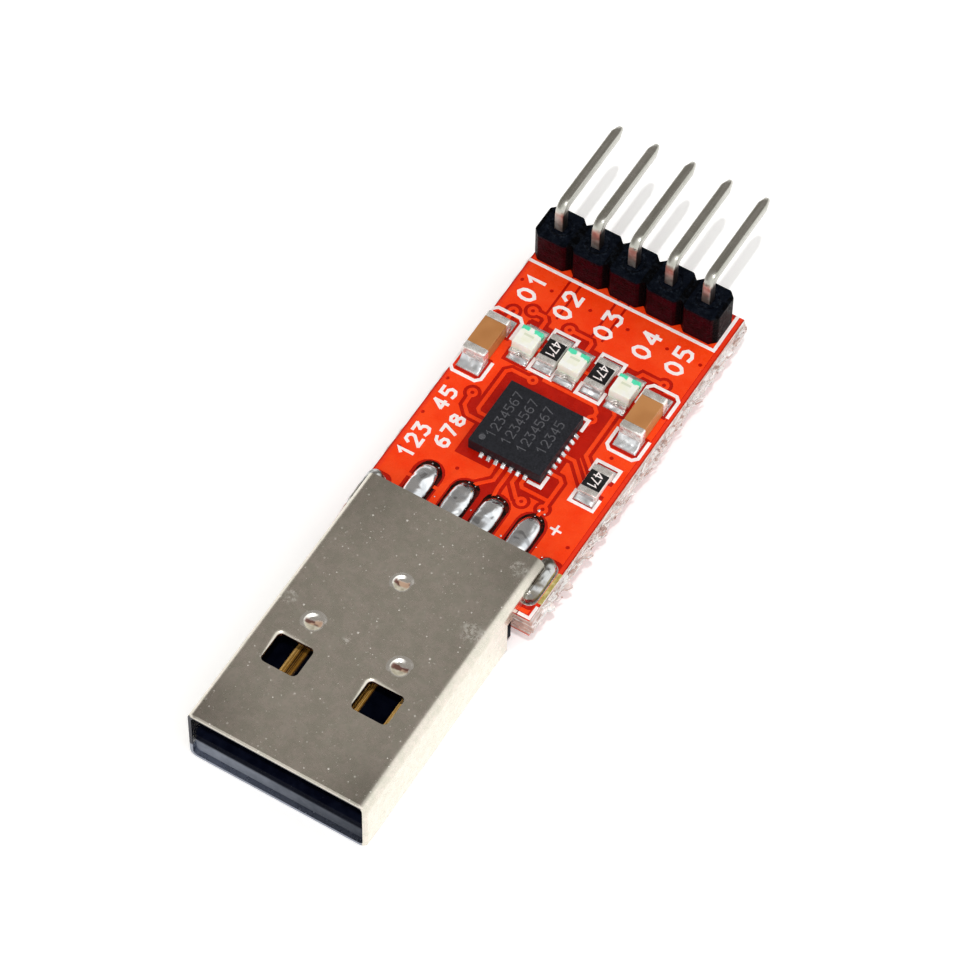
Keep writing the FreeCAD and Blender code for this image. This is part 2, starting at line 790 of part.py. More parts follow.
def make_printing():
    lines = frame_lines(resistor_places, resistor_width / 2 + resistor_frame_side,
                        resistor_length / 2 + resistor_frame_out, resistor_frame_leg)
    lines += frame_lines(capacitor_places, capacitor_width / 2 + capacitor_frame_side,
                         capacitor_length / 2 + capacitor_frame_out, capacitor_frame_leg, capacitor_frame_cut)
    lines += corner_lines() + [header_line()]
    ink = [strip(line, line_width, copper_top_z, ink_top_z, line_width / 2) for line in lines]
    arm = plus_size / 2
    for line in ([(plus_x - arm, plus_y), (plus_x + arm, plus_y)], [(plus_x, plus_y - arm), (plus_x, plus_y + arm)]):
        ink.append(strip(line, thin_line, copper_top_z, ink_top_z))
    bare = part_rooms() + part_pads(ink_gap, ink_top_z) + tab_pads(ink_gap, ink_top_z)
    return join(ink).common(board_layer(board_top_z, ink_top_z)).cut(bare)


# Solder on the contact tails and along the shell's tabs
def make_contact_solder(x, contact, shell):
    run = bead(x, contact_pad_front_y - contact_pad_width, contact_pad_end_y - bead_inset, pad_top_z,
               contact_pad_width - 2 * bead_inset, contact_bead_height)
    above_pad = box(x - contact_pad_width, x + contact_pad_width, contact_pad_front_y, contact_pad_end_y,
                    pad_top_z, shell_height)
    return run.common(above_pad).cut([contact, shell])


def make_tab_solder(side, shell):
    x = plug_mid_x + side * shell_half
    front_y = tab_front_y - tab_pad_before_tab + bead_inset
    back_y = tab_back_y + tab_pad_past_tab - bead_inset
    run = bead(tab_pad_x(side), front_y, back_y, pad_top_z, tab_pad_width - 2 * bead_inset, tab_bead_height)
    above_pad = box(x - tab_pad_width, x + tab_pad_width, 0, board_length, pad_top_z, shell_height)
    under_shell = box(plug_mid_x, x, mouth_y, shell_back_y, 0, shell_height + beyond)
    return run.common(above_pad.cut(under_shell)).cut(shell)


# Header body: one block per pin, with cut corners
def make_header_body():
    front = []
    back = []
    cut = header_corner
    for x in pin_xs:
        low = x - pitch / 2
        high = x + pitch / 2
        front += [(low, header_front_y + cut), (low + cut, header_front_y), (high - cut, header_front_y)]
        back += [(low, header_back_y - cut), (low + cut, header_back_y), (high - cut, header_back_y)]
    front.append((high, header_front_y + cut))
    back.append((high, header_back_y - cut))
    body = prism(front + back[::-1], header_bottom_z, header_top_z)
    half = pin_side / 2
    return body.cut([box(x - half, x + half, pin_y - half, pin_y + half, 0, pin_axis_z) for x in pin_xs])


# Header pin: square wire, bent once, tapered at the tip
def make_pin(x):
    half = pin_side / 2
    inner = pin_bend_inner
    outer = inner + pin_side
    turn_y = pin_y + half + inner
    turn_z = pin_axis_z - half - inner
    top_z = turn_z + outer
    low_z = turn_z + inner
    slant = math.sqrt(0.5)
    taper_y = pin_tip_y - pin_taper_length

    def at(y, z):
        return Vector(x - half, y, z)

    outer_bend = Part.Arc(at(pin_y - half, turn_z), at(turn_y - outer * slant, turn_z + outer * slant),
                          at(turn_y, top_z)).toShape()
    inner_bend = Part.Arc(at(turn_y, low_z), at(turn_y - inner * slant, turn_z + inner * slant),
                          at(pin_y + half, turn_z)).toShape()
    outline = [
        Part.makeLine(at(pin_y - half, 0), at(pin_y - half, turn_z)),
        outer_bend,
        Part.makeLine(at(turn_y, top_z), at(taper_y, top_z)),
        Part.makeLine(at(taper_y, top_z), at(pin_tip_y, top_z - pin_taper_side)),
        Part.makeLine(at(pin_tip_y, top_z - pin_taper_side), at(pin_tip_y, low_z + pin_taper_side)),
        Part.makeLine(at(pin_tip_y, low_z + pin_taper_side), at(taper_y, low_z)),
        Part.makeLine(at(taper_y, low_z), at(turn_y, low_z)),
        inner_bend,
        Part.makeLine(at(pin_y + half, turn_z), at(pin_y + half, 0)),
        Part.makeLine(at(pin_y + half, 0), at(pin_y - half, 0)),
    ]
    pin = Part.Face(Part.Wire(outline)).extrude(Vector(pin_side, 0, 0))
    wedges = []
    for side in (-1, 1):
        face_x = x + side * half
        wedges.append(prism([(face_x, taper_y), (face_x - side * pin_taper_side, pin_tip_y),
                             (face_x - side * pin_taper_side, pin_tip_y + pin_side), (face_x, pin_tip_y + pin_side)],
                            low_z - pin_side, top_z + pin_side))
    return pin.cut(wedges)


def make_pin_solder(x, pin):
    cone = layered([(ring(x, pin_y, pin_joint_tip_size), under_copper_z - pin_joint_height),
                    (ring(x, pin_y, pin_joint_size), under_copper_z)])
    return cone.cut(pin)


# Small parts with two ends
def climbing_joint(x, end_y, side, half_x, out, height):
    """Solder that climbs from a pad's outer edge up the end of a part."""
    run = side * (out - joint_inset)
    profile = [(end_y, pad_top_z), (end_y, pad_top_z + height), (end_y + run * 0.35, pad_top_z + height * 0.38),
               (end_y + run, pad_top_z + joint_foot_height), (end_y + run, pad_top_z)]
    return prism_along_x(profile, x - half_x + joint_inset, x + half_x - joint_inset)


def make_resistor(name, x, y):
    half_x = resistor_width / 2
    half_y = resistor_length / 2
    wrap = resistor_wrap
    low = pad_top_z
    high = low + resistor_height
    body = box(x - half_x, x + half_x, y - half_y + wrap, y + half_y - wrap, low + wrap, high - wrap)
    ends = []
    joints = []
    for side in (-1, 1):
        far_y = y + side * half_y
        ends.append(box(x - half_x, x + half_x, far_y - side * resistor_end, far_y, low, high).cut(body))
        joints.append(climbing_joint(x, far_y, side, half_x, resistor_pad_out, resistor_height * 0.7))
    coat = box(x - half_x + resistor_coat_inset, x + half_x - resistor_coat_inset,
               y - half_y + resistor_end, y + half_y - resistor_end, high - wrap, high)
    write(name + "_body", body)
    write(name + "_ends", Part.makeCompound(ends))
    write(name + "_coat", coat)
    return joints


def make_led(name, x, y):
    half_x = led_width / 2
    half_y = led_length / 2
    inner = half_y - led_end
    low = pad_top_z
    middle = low + led_carrier_height
    high = low + led_height
    carrier = box(x - half_x, x + half_x, y - inner, y + inner, low, middle)
    lens = prism_along_x([(y - inner, middle), (y - inner + led_lens_slope, high),
                          (y + inner - led_lens_slope, high), (y + inner, middle)], x - half_x, x + half_x)
    ends = []
    joints = []
    for side in (-1, 1):
        far_y = y + side * half_y
        notch = small_round(x, far_y, led_end_notch, 0, shell_height)
        ends.append(box(x - half_x, x + half_x, y + side * inner, far_y, low, middle).cut(notch))
        joints.append(climbing_joint(x, far_y, side, half_x * 0.9, led_pad_out, led_carrier_height * 0.8))
    write(name + "_base", carrier)
    write(name + "_lens", lens)
    write(name + "_ends", Part.makeCompound(ends))
    return joints


def make_capacitor(name, x, y):
    half_x = capacitor_width / 2
    half_y = capacitor_length / 2
    inner = half_y - capacitor_end
    step = capacitor_end_step
    low = pad_top_z
    high = low + capacitor_height
    body = box(x - half_x + step, x + half_x - step, y - inner, y + inner, low + step, high - step)
    ends = []
    joints = []
    for side in (-1, 1):
        far_y = y + side * half_y
        end = box(x - half_x, x + half_x, y + side * inner, far_y, low, high)
        lengthwise = [e for e in end.Edges if e.BoundBox.YLength > capacitor_end / 2]
        outermost = [e for e in end.Edges if abs(e.CenterOfMass.y - far_y) < capacitor_end / 4]
        ends.append(end.makeChamfer(capacitor_end_bevel, lengthwise + outermost))
        joints.append(climbing_joint(x, far_y, side, half_x, capacitor_pad_out, capacitor_height * 0.42))
    write(name + "_body", body)
    write(name + "_ends", Part.makeCompound(ends))
    return joints


# Plug
shell = make_shell()
write("plug_shell", shell)
contacts = [make_contact(x) for x in contact_xs]
for i, contact in enumerate(contacts):
    write("plug_contact_" + str(i + 1), contact)
    write("contact_solder_" + str(i + 1), make_contact_solder(contact_xs[i], contact, shell))
write("plug_insulator", make_plastic(contacts))
write("tab_solder_left", make_tab_solder(-1, shell))
write("tab_solder_right", make_tab_solder(1, shell))

# Board
holes = tab_slots(slot_clear) + pin_holes()
land_pads, chip_lands, chip_joints = chip_land_solids()
on_board = board_layer(board_top_z, pad_top_z)
tab_pads_on_board = [pad.common(on_board).cut(holes + [bare_patch()]) for pad in tab_pads(0, pad_top_z)]
top_pads = part_pads(0, pad_top_z) + contact_pads(0, pad_top_z) + tab_pads_on_board + land_pads
write("board_laminate", make_laminate().cut(holes))
write("solder_mask_top", board_layer(laminate_top_z, board_top_z).cut(holes + [bare_patch()]))
write("solder_mask_bottom", board_layer(board_bottom_z, laminate_bottom_z).cut(holes))
write("pads_top", Part.makeCompound(top_pads))
write("copper_pattern_top", make_copper(top_pads, holes))
write("pads_bottom", make_under_pads(holes))
write("copper_pattern_bottom", make_under_copper())
write("silkscreen_top", make_printing())

# Header
write("header_body", make_header_body())
for i, x in enumerate(pin_xs):
    pin = make_pin(x)
    write("header_pin_" + str(i + 1), pin)
    write("header_solder_" + str(i + 1), make_pin_solder(x, pin))

# Chip and small parts
write("chip_body", make_chip_body(chip_lands))
write("chip_lands", Part.makeCompound(chip_lands))
write("chip_solder", Part.makeCompound(chip_joints))
part_joints = []
for i, (x, y) in enumerate(resistor_places):
    part_joints += make_resistor("resistor_" + str(i + 1), x, y)
for i, (x, y) in enumerate(led_places):
    part_joints += make_led("led_" + str(i + 1), x, y)
for i, (x, y) in enumerate(capacitor_places):
    part_joints += make_capacitor("capacitor_" + str(i + 1), x, y)
write("part_solder", Part.makeCompound(part_joints))
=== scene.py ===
import math
import random

import bmesh
import bpy
from mathutils import Matrix, Vector, noise


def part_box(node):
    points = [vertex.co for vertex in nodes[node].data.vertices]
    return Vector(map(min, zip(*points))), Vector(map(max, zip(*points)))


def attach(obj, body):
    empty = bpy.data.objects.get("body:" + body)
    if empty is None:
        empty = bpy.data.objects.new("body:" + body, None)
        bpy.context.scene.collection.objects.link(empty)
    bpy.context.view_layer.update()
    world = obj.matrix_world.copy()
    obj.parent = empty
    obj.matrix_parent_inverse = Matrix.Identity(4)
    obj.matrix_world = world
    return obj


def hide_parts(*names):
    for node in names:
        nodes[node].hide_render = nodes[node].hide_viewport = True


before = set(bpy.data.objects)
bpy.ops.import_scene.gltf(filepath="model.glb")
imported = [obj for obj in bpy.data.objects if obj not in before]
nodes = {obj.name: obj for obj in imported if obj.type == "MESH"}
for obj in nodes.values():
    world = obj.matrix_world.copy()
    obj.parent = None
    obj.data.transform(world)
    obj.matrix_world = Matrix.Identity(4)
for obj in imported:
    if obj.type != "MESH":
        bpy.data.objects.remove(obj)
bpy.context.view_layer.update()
MM = 0.001


def node_box(name):
    low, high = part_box(name)
    return Vector(low) / MM, Vector(high) / MM


# The drawing datum is the middle of the board's front edge, on the surface the module rests on.
# Every place below is measured from it, in millimetres.
board_low, board_high = node_box("solder_mask_top")
DATUM = Vector(((board_low.x + board_high.x) / 2, board_low.y, 0))
BOARD_HALF = (board_high.x - board_low.x) / 2
BOARD_LENGTH = board_high.y - board_low.y
BOARD_TOP = board_high.z
COPPER_TOP = node_box("copper_pattern_top")[1].z


def place_of(name):
    low, high = node_box(name)
    return low - DATUM, high - DATUM


def middle_of(name):
    low, high = place_of(name)
    return (low + high) / 2


SHELL_LOW, SHELL_HIGH = place_of("plug_shell")
MOUTH_Y = SHELL_LOW.y
SHELL_TOP = SHELL_HIGH.z
PLUG_MID_X = (SHELL_LOW.x + SHELL_HIGH.x) / 2
PUNCH_X = PLUG_MID_X - 0.2
WINDOW_XS = (PUNCH_X - 3.03, PUNCH_X + 3.03)
WINDOW_Y = MOUTH_Y + 6.25
WINDOW_HALF = (1.225, 1.1)
WINDOW_CORNER = 0.35
# Place and radius of each pressed hollow
COINS = ((PUNCH_X - 2.9, MOUTH_Y + 8.85, 0.625), (PUNCH_X + 2.9, MOUTH_Y + 8.85, 0.625),
         (PUNCH_X, MOUTH_Y + 13.7, 0.575))
CONTACT_XS = [middle_of("plug_contact_%d" % i).x for i in range(1, 5)]
CONTACT_PAD_END = 6.25
CONTACT_PAD_HALF = 0.65
PIN_XS = [middle_of("header_pin_%d" % i).x for i in range(1, 6)]
PIN_Y = middle_of("header_solder_1").y
PIN_TOP = place_of("header_pin_1")[1].z
HEADER_TOP = place_of("header_body")[1].z
PITCH = 2.54
LEDS = [middle_of("led_%d_lens" % i) for i in range(1, 4)]
COATS = [place_of("resistor_%d_coat" % i) for i in range(1, 4)]
CHIP_LOW, CHIP_HIGH = place_of("chip_body")
SIDE_FACE_X = BOARD_HALF + 0.13
SIDE_LIMIT_X = place_of("board_laminate")[1].x


# Materials: a small layer over the node tree
class Shader:
    """Builds one procedural material. Positions are measured from the datum, in millimetres."""

    def __init__(self, name, roughness=0.5, metallic=0.0, ior=1.5, specular=0.5):
        self.material = bpy.data.materials.new(name)
        self.material.use_nodes = True
        self.tree = self.material.node_tree
        self.surface = self.tree.nodes["Principled BSDF"]
        self.surface.inputs["Metallic"].default_value = metallic
        self.surface.inputs["Roughness"].default_value = roughness
        self.surface.inputs["IOR"].default_value = ior
        self.surface.inputs["Specular IOR Level"].default_value = specular
        coordinates = self.node("ShaderNodeTexCoord")
        scale = self.node("ShaderNodeVectorMath", operation="SCALE")
        scale.inputs["Scale"].default_value = 1 / MM
        self.link(coordinates.outputs["Object"], scale.inputs[0])
        shift = self.node("ShaderNodeVectorMath", operation="SUBTRACT")
        self.link(scale.outputs[0], shift.inputs[0])
        shift.inputs[1].default_value = DATUM
        self.place = shift.outputs[0]
        axes = self.node("ShaderNodeSeparateXYZ")
        self.link(self.place, axes.inputs[0])
        self.x, self.y, self.z = axes.outputs
        self.height = None

    def node(self, kind, **settings):
        made = self.tree.nodes.new(kind)
        for key, value in settings.items():
            setattr(made, key, value)
        return made

    def link(self, source, target):
        self.tree.links.new(source, target)

    def put(self, socket, value):
        if isinstance(value, bpy.types.NodeSocket):
            self.link(value, socket)
        elif isinstance(value, (tuple, list)) and len(value) == 3 and socket.type == "RGBA":
            socket.default_value = (*value, 1)
        else:
            socket.default_value = value

    def set(self, **values):
        for key, value in values.items():
            self.put(self.surface.inputs[key.replace("_", " ").title()], value)

    def math(self, operation, a, b=0.0, clamp=False):
        made = self.node("ShaderNodeMath", operation=operation, use_clamp=clamp)
        self.put(made.inputs[0], a)
        self.put(made.inputs[1], b)
        return made.outputs[0]

    def times(self, *values):
        product = values[0]
        for value in values[1:]:
            product = self.math("MULTIPLY", product, value)
        return product

    def stretch(self, x, y, z):
        made = self.node("ShaderNodeVectorMath", operation="MULTIPLY")
        self.link(self.place, made.inputs[0])
        made.inputs[1].default_value = (x, y, z)
        return made.outputs[0]

    def noise(self, scale, detail=3.0, rough=0.5, distortion=0.0, place=None):
        made = self.node("ShaderNodeTexNoise")
        self.link(place or self.place, made.inputs["Vector"])
        made.inputs["Scale"].default_value = scale
        made.inputs["Detail"].default_value = detail
        made.inputs["Roughness"].default_value = rough
        made.inputs["Distortion"].default_value = distortion
        return made.outputs["Fac"]

    def cells(self, scale, place=None):
        made = self.node("ShaderNodeTexVoronoi")
        self.link(place or self.place, made.inputs["Vector"])
        made.inputs["Scale"].default_value = scale
        return made.outputs["Distance"], made.outputs["Color"]

    def ramp(self, value, low, high, out_low=0.0, out_high=1.0):
        made = self.node("ShaderNodeMapRange", interpolation_type="SMOOTHSTEP")
        self.link(value, made.inputs["Value"])
        made.inputs["From Min"].default_value = min(low, high)
        made.inputs["From Max"].default_value = max(low, high)
        made.inputs["To Min"].default_value = out_low if low < high else out_high
        made.inputs["To Max"].default_value = out_high if low < high else out_low
        return made.outputs["Result"]

    def mix(self, share, a, b):
        made = self.node("ShaderNodeMix", data_type="RGBA")
        self.put(made.inputs["Factor"], share)
        self.put(made.inputs["A"], a)
        self.put(made.inputs["B"], b)
        return made.outputs["Result"]

    def reach(self, x, y):
        """Distance on the plan from a place."""
        dx = self.math("SUBTRACT", self.x, x)
        dy = self.math("SUBTRACT", self.y, y)
        return self.math("SQRT", self.math("ADD", self.times(dx, dx), self.times(dy, dy)))

    def away(self, value, middle):
        """How far a value lies from a middle, on either side of it."""
        return self.math("ABSOLUTE", self.math("SUBTRACT", value, middle))

    def patch(self, x, y, radius, wobble):
        """One inside a ragged round patch about a place on the plan, falling to zero at its edge."""
        ragged = self.times(self.math("SUBTRACT", wobble, 0.5), radius * 1.6)
        return self.ramp(self.math("ADD", self.reach(x, y), ragged), radius, radius * 0.5)

    def bump(self, height, distance):
        made = self.node("ShaderNodeBump")
        made.inputs["Strength"].default_value = 1.0
        made.inputs["Distance"].default_value = distance * MM
        self.link(height, made.inputs["Height"])
        if self.height is not None:
            self.link(self.height, made.inputs["Normal"])
        self.height = made.outputs["Normal"]
        self.link(self.height, self.surface.inputs["Normal"])


def specks(s, scale, size, share, strength):
    """Round specks of uneven brightness in some of the cells of a pattern."""
    distance, colour = s.cells(scale)
    tone = s.node("ShaderNodeSeparateColor")
    s.link(colour, tone.inputs[0])
    chosen = s.math("GREATER_THAN", tone.outputs[0], 1 - share)
    bright = s.ramp(tone.outputs[1], 0.0, 1.0, strength * 0.3, strength)
    return s.times(s.ramp(distance, size, size * 0.15), chosen, bright)


def from_pin(s):
    """Place across a header block, from the middle of its own pin."""
    across = s.math("SUBTRACT", s.x, PIN_XS[0] - PITCH / 2)
    return s.math("SUBTRACT", s.math("MODULO", across, PITCH), PITCH / 2)


def shell_metal():
    """Dull sheet metal with painted shade towards its rims, its back and its back right corner, with dust, smudges,
    painted shade at the edges of its mouth and in its window walls, and a painted bluish-grey reflection low inside the
    mouth.
    """
    s = Shader("shell_metal", 0.27, 1.0)
    base = s.mix(s.ramp(s.noise(1.7, 3, 0.65), 0.38, 0.62), (0.70, 0.67, 0.575), (0.80, 0.73, 0.65))
    base = s.mix(s.ramp(s.noise(5.5, 3, 0.7), 0.40, 0.65, 0.0, 0.35), base, (0.60, 0.58, 0.50))
    base = s.mix(s.ramp(s.noise(18, 3, 0.7), 0.35, 0.7, 0.0, 0.25), base, (0.92, 0.88, 0.80))
    # Painted shade on the top: darker towards its sides, most near the mouth, a little darker at the mouth, and darker
    # towards its back.
    side = s.away(s.x, PLUG_MID_X + 0.2)
    front = s.ramp(s.y, MOUTH_Y + 5.0, MOUTH_Y, 0.2, 1.0)
    shade = s.math("ADD", s.times(s.ramp(side, 1.5, 6.2, 0.0, 0.36), front),
                   s.ramp(s.y, MOUTH_Y + 4, MOUTH_Y, 0.0, 0.08))
    shade = s.math("ADD", shade, s.times(s.ramp(s.y, -3.0, 3.2, 0.0, 0.22), s.ramp(side, 0.0, 5.0)))
    top = s.ramp(s.z, SHELL_TOP - 0.12, SHELL_TOP - 0.03)
    base = s.mix(s.times(shade, top), base, (0.08, 0.07, 0.06))
    # Painted shade on the right rounded corner, growing towards the back.
    corner = s.times(s.ramp(s.x, 5.0, 5.35), s.ramp(s.z, SHELL_TOP - 0.6, SHELL_TOP - 0.35))
    base = s.mix(s.times(corner, s.ramp(s.y, 0.8, 3.0, 0.0, 0.55)), base, (0.20, 0.18, 0.15))
    dust = s.math("MAXIMUM", specks(s, 1.4, 0.14, 0.6, 0.95), specks(s, 3.0, 0.21, 0.4, 0.8))
    dust = s.math("MAXIMUM", dust, specks(s, 6.0, 0.28, 0.2, 0.45))
    wobble = s.noise(2.6, 4, 0.75)
    smudges = s.patch(4.72, 1.95, 0.7, wobble)
    for x, y, radius in ((4.72, -3.15, 0.85), (-5.47, -6.55, 0.6), (-1.2, -7.3, 0.3)):
        smudges = s.math("MAXIMUM", smudges, s.patch(x, y, radius, wobble))
    smudges = s.times(smudges, s.ramp(s.noise(5, 3, 0.8), 0.42, 0.58))
    dirt = s.math("MAXIMUM", dust, s.times(smudges, 0.5), clamp=True)
    base = s.mix(s.times(dirt, top), base, (0.97, 0.95, 0.90))
    # Painted shade on the edges of the mouth below the top sheet, and a painted bluish-grey reflection on the inner
    # faces low in the mouth.
    inside = s.times(s.ramp(s.x, SHELL_LOW.x + 0.01, SHELL_LOW.x + 0.06), s.ramp(s.z, 0.01, 0.06))
    before_wall = s.ramp(s.x, 5.42, 5.3)
    mouth = s.times(s.ramp(s.y, MOUTH_Y + 0.45, MOUTH_Y + 0.4), before_wall, inside)
    rim = s.times(s.ramp(s.y, MOUTH_Y + 0.11, MOUTH_Y + 0.06), before_wall,
                  s.ramp(s.z, SHELL_TOP - 0.12, SHELL_TOP - 0.3))
    base = s.mix(rim, base, (0.03, 0.03, 0.04))
    base = s.mix(s.times(mouth, s.ramp(s.z, 1.35, 1.15)), base, (0.28, 0.30, 0.36))
    # Painted dark red-brown shade on the walls of the windows.
    along = s.away(s.y, WINDOW_Y)
    for x in WINDOW_XS:
        wall = s.times(s.ramp(s.away(s.x, x), WINDOW_HALF[0] + 0.08, WINDOW_HALF[0] + 0.02),
                       s.ramp(along, WINDOW_HALF[1] + 0.08, WINDOW_HALF[1] + 0.02),
                       s.ramp(s.z, SHELL_TOP - 0.01, SHELL_TOP - 0.05))
        base = s.mix(wall, base, (0.06, 0.012, 0.012))
    s.set(base_color=base)
    rough = s.ramp(s.noise(1.2, 3), 0.3, 0.7, 0.25, 0.29)
    s.set(roughness=s.math("ADD", rough, s.times(dirt, 0.4), clamp=True))
    s.bump(s.noise(0.7, 2), 0.004)
    s.bump(s.noise(20, 3, 0.7), 0.0014)
    s.bump(s.noise(4.0, 2), 0.003)
    s.bump(dust, 0.012)
    return s.material


def coin_metal():
    """Pressed hollow: a bright wall at the back, a painted brown reflection with painted tan highlights streaked across
    the floor, and a painted cream reflection below it.
    """
    s = Shader("coin_metal", 0.2, 1.0)
    base, dull = (0.97, 0.95, 0.90), 0.0
    # Painted reflections, duller than the metal round them: cream on the front of each floor and a brown band with tan
    # highlights across it.
    cream = s.mix(s.ramp(s.noise(3.5, 3), 0.35, 0.65), (0.50, 0.46, 0.35), (0.74, 0.69, 0.56))
    brown = s.mix(s.ramp(s.noise(1.9, 1, 0.5), 0.44, 0.58), (0.16, 0.075, 0.06), (0.62, 0.42, 0.30))
    for x, y, radius in COINS:
        along = s.math("ADD", s.math("SUBTRACT", s.y, y), s.times(s.math("SUBTRACT", s.x, x), -0.1))
        wavy = s.math("ADD", along, s.times(s.math("SUBTRACT", s.noise(2.4, 2), 0.5), 0.4))
        floor = s.ramp(s.reach(x, y), radius * 0.98, radius * 0.75)
        lower_reflection = s.times(s.ramp(wavy, 0.05, -0.12), floor)
        band = s.times(s.ramp(wavy, -0.22, -0.06), s.ramp(wavy, 0.30, 0.14), floor)
        base = s.mix(band, s.mix(lower_reflection, base, cream), brown)
        dull = s.math("MAXIMUM", dull, s.math("MAXIMUM", band, lower_reflection))
    s.set(base_color=base)
    s.set(metallic=s.ramp(dull, 0.0, 1.0, 1.0, 0.25))
    s.set(roughness=s.ramp(s.noise(1.8, 2), 0.3, 0.7, 0.16, 0.26))
    s.bump(s.noise(2.6, 1), 0.03)
    return s.material


def plug_plastic():
    s = Shader("plug_plastic", 0.3, 0.0, 1.5, 0.005)
    # Painted bluish-grey reflection on the low front of the tongue, fading towards the right.
    grey = s.ramp(s.x, PLUG_MID_X - 5.5, PLUG_MID_X + 5.5, 0.95, 0.30)
    low = s.times(s.ramp(s.z, 1.45, 1.15), s.ramp(s.y, MOUTH_Y + 1.0, MOUTH_Y + 0.6))
    base = s.mix(s.ramp(s.noise(1.5, 3), 0.3, 0.7), (0.001, 0.0015, 0.005), (0.003, 0.004, 0.010))
    band = s.mix(s.ramp(s.noise(1.2, 3), 0.3, 0.7), (0.19, 0.21, 0.25), (0.25, 0.27, 0.32))
    base = s.mix(s.times(low, grey), base, band)
    base = s.mix(specks(s, 4.0, 0.1, 0.2, 0.35), base, (0.3, 0.32, 0.36))
    s.set(base_color=base, roughness=s.ramp(s.noise(4, 3), 0.3, 0.7, 0.2, 0.32))
    s.bump(s.noise(9, 3), 0.004)
    return s.material


def header_plastic():
    """Black moulding: ring relief round each pin, a painted red reflection on the front, painted shade in the seams
    between blocks.
    """
    s = Shader("header_plastic", 0.32, 0.0, 1.5, 0.02)
    base = s.mix(s.ramp(s.noise(2, 3), 0.35, 0.65), (0.001, 0.0018, 0.004), (0.003, 0.0045, 0.009))
    across = from_pin(s)
    along = s.math("SUBTRACT", s.y, PIN_Y)
    # Painted red reflection on the front faces of the blocks.
    front = s.times(s.ramp(along, -1.0, -1.12), s.ramp(s.z, HEADER_TOP - 0.03, HEADER_TOP - 0.25))
    shine = s.mix(s.ramp(s.noise(2.5, 3), 0.35, 0.65), (0.015, 0.0001, 0.0012), (0.032, 0.0002, 0.0030))
    base = s.mix(front, base, shine)
    # Painted shade in the seams between blocks.
    seam_shade = s.ramp(s.math("ABSOLUTE", across), 0.97, 1.06)
    base = s.mix(seam_shade, base, (0.0006, 0.0006, 0.001))
    reach = s.math("SQRT", s.math("ADD", s.times(across, across), s.times(along, along)))
    wavy = s.math("ADD", reach, s.times(s.noise(3, 2), 0.15))
    top = s.ramp(s.z, HEADER_TOP - 0.1, HEADER_TOP - 0.04)
    ring = s.times(s.ramp(wavy, 0.62, 0.74), s.ramp(wavy, 0.98, 0.84), top)
    # Scuffs lighten the top, and the ring relief is lightened further as a painted highlight.
    scuffs = s.ramp(s.noise(4.5, 4, 0.7), 0.48, 0.62)
    base = s.mix(s.times(s.math("ADD", ring, 0.35), scuffs, top), base, (0.014, 0.019, 0.028))
    s.set(base_color=base)
    s.set(roughness=s.ramp(s.noise(5, 3), 0.3, 0.7, 0.26, 0.42))
    s.bump(s.ramp(wavy, 0.70, 0.84), 0.16)
    s.bump(s.noise(6, 4, 0.65), 0.07)
    return s.material


def moulded(name, dark, light, rough, grain_scale, grain, specular):
    s = Shader(name, rough, specular=specular)
    s.set(base_color=s.mix(s.ramp(s.noise(1.5, 3), 0.35, 0.65), dark, light))
    s.set(roughness=s.ramp(s.noise(4.5, 3), 0.3, 0.7, rough - 0.07, rough + 0.07))
    s.bump(s.noise(grain_scale, 3), grain)
    return s.material


def metal(name, dark, light, rough, lump_scale, lump, metallic):
    s = Shader(name, rough, metallic)
    s.set(base_color=s.mix(s.ramp(s.noise(lump_scale * 0.8, 3), 0.35, 0.65), dark, light))
    s.set(roughness=s.ramp(s.noise(lump_scale * 2, 3), 0.3, 0.7, rough - 0.08, rough + 0.08))
    s.bump(s.noise(lump_scale, 2), lump)
    s.bump(s.noise(lump_scale * 7, 2), lump * 0.06)
    return s.material


def solder_metal(name, dull, clean, swell, rough=0.16):
    """Soft solder: broad smooth swells of bright metal, dull grey stretches of painted dark reflection and a dark foot.
    """
    s = Shader(name, 0.2, 1.0)
    skin = s.noise(0.8, 2, 0.5, 0.6)
    base = s.mix(s.ramp(skin, 0.38, 0.62), dull, clean)
    # Painted dark reflections in narrow grey stretches.
    streak = s.noise(1.1, 1, 0.5, 0.8)
    base = s.mix(s.times(s.ramp(streak, 0.57, 0.64, 0.0, 0.6), s.ramp(streak, 0.76, 0.66)), base, (0.20, 0.20, 0.21))
    foot = s.times(s.ramp(s.z, BOARD_TOP - 0.2, BOARD_TOP - 0.1), s.ramp(s.z, BOARD_TOP + 0.32, BOARD_TOP + 0.12))
    base = s.mix(foot, base, (0.035, 0.025, 0.025))
    s.set(base_color=base, roughness=s.ramp(skin, 0.3, 0.7, rough + 0.1, rough))
    s.bump(s.noise(1.15, 1, 0.5, 0.6), swell)
    s.bump(s.noise(3.0, 1), swell * 0.05)
    return s.material


def small_solder():
    """Fillets at the small parts and the chip: bright, with soft facets of their own."""
    s = Shader("small_solder", 0.24, 0.75)
    skin = s.noise(1.6, 2)
    s.set(base_color=s.mix(s.ramp(skin, 0.35, 0.65), (0.62, 0.64, 0.66), (0.96, 0.98, 1.0)))
    s.set(roughness=s.ramp(skin, 0.3, 0.7, 0.34, 0.22))
    s.bump(s.noise(1.3, 1), 0.12)
    return s.material


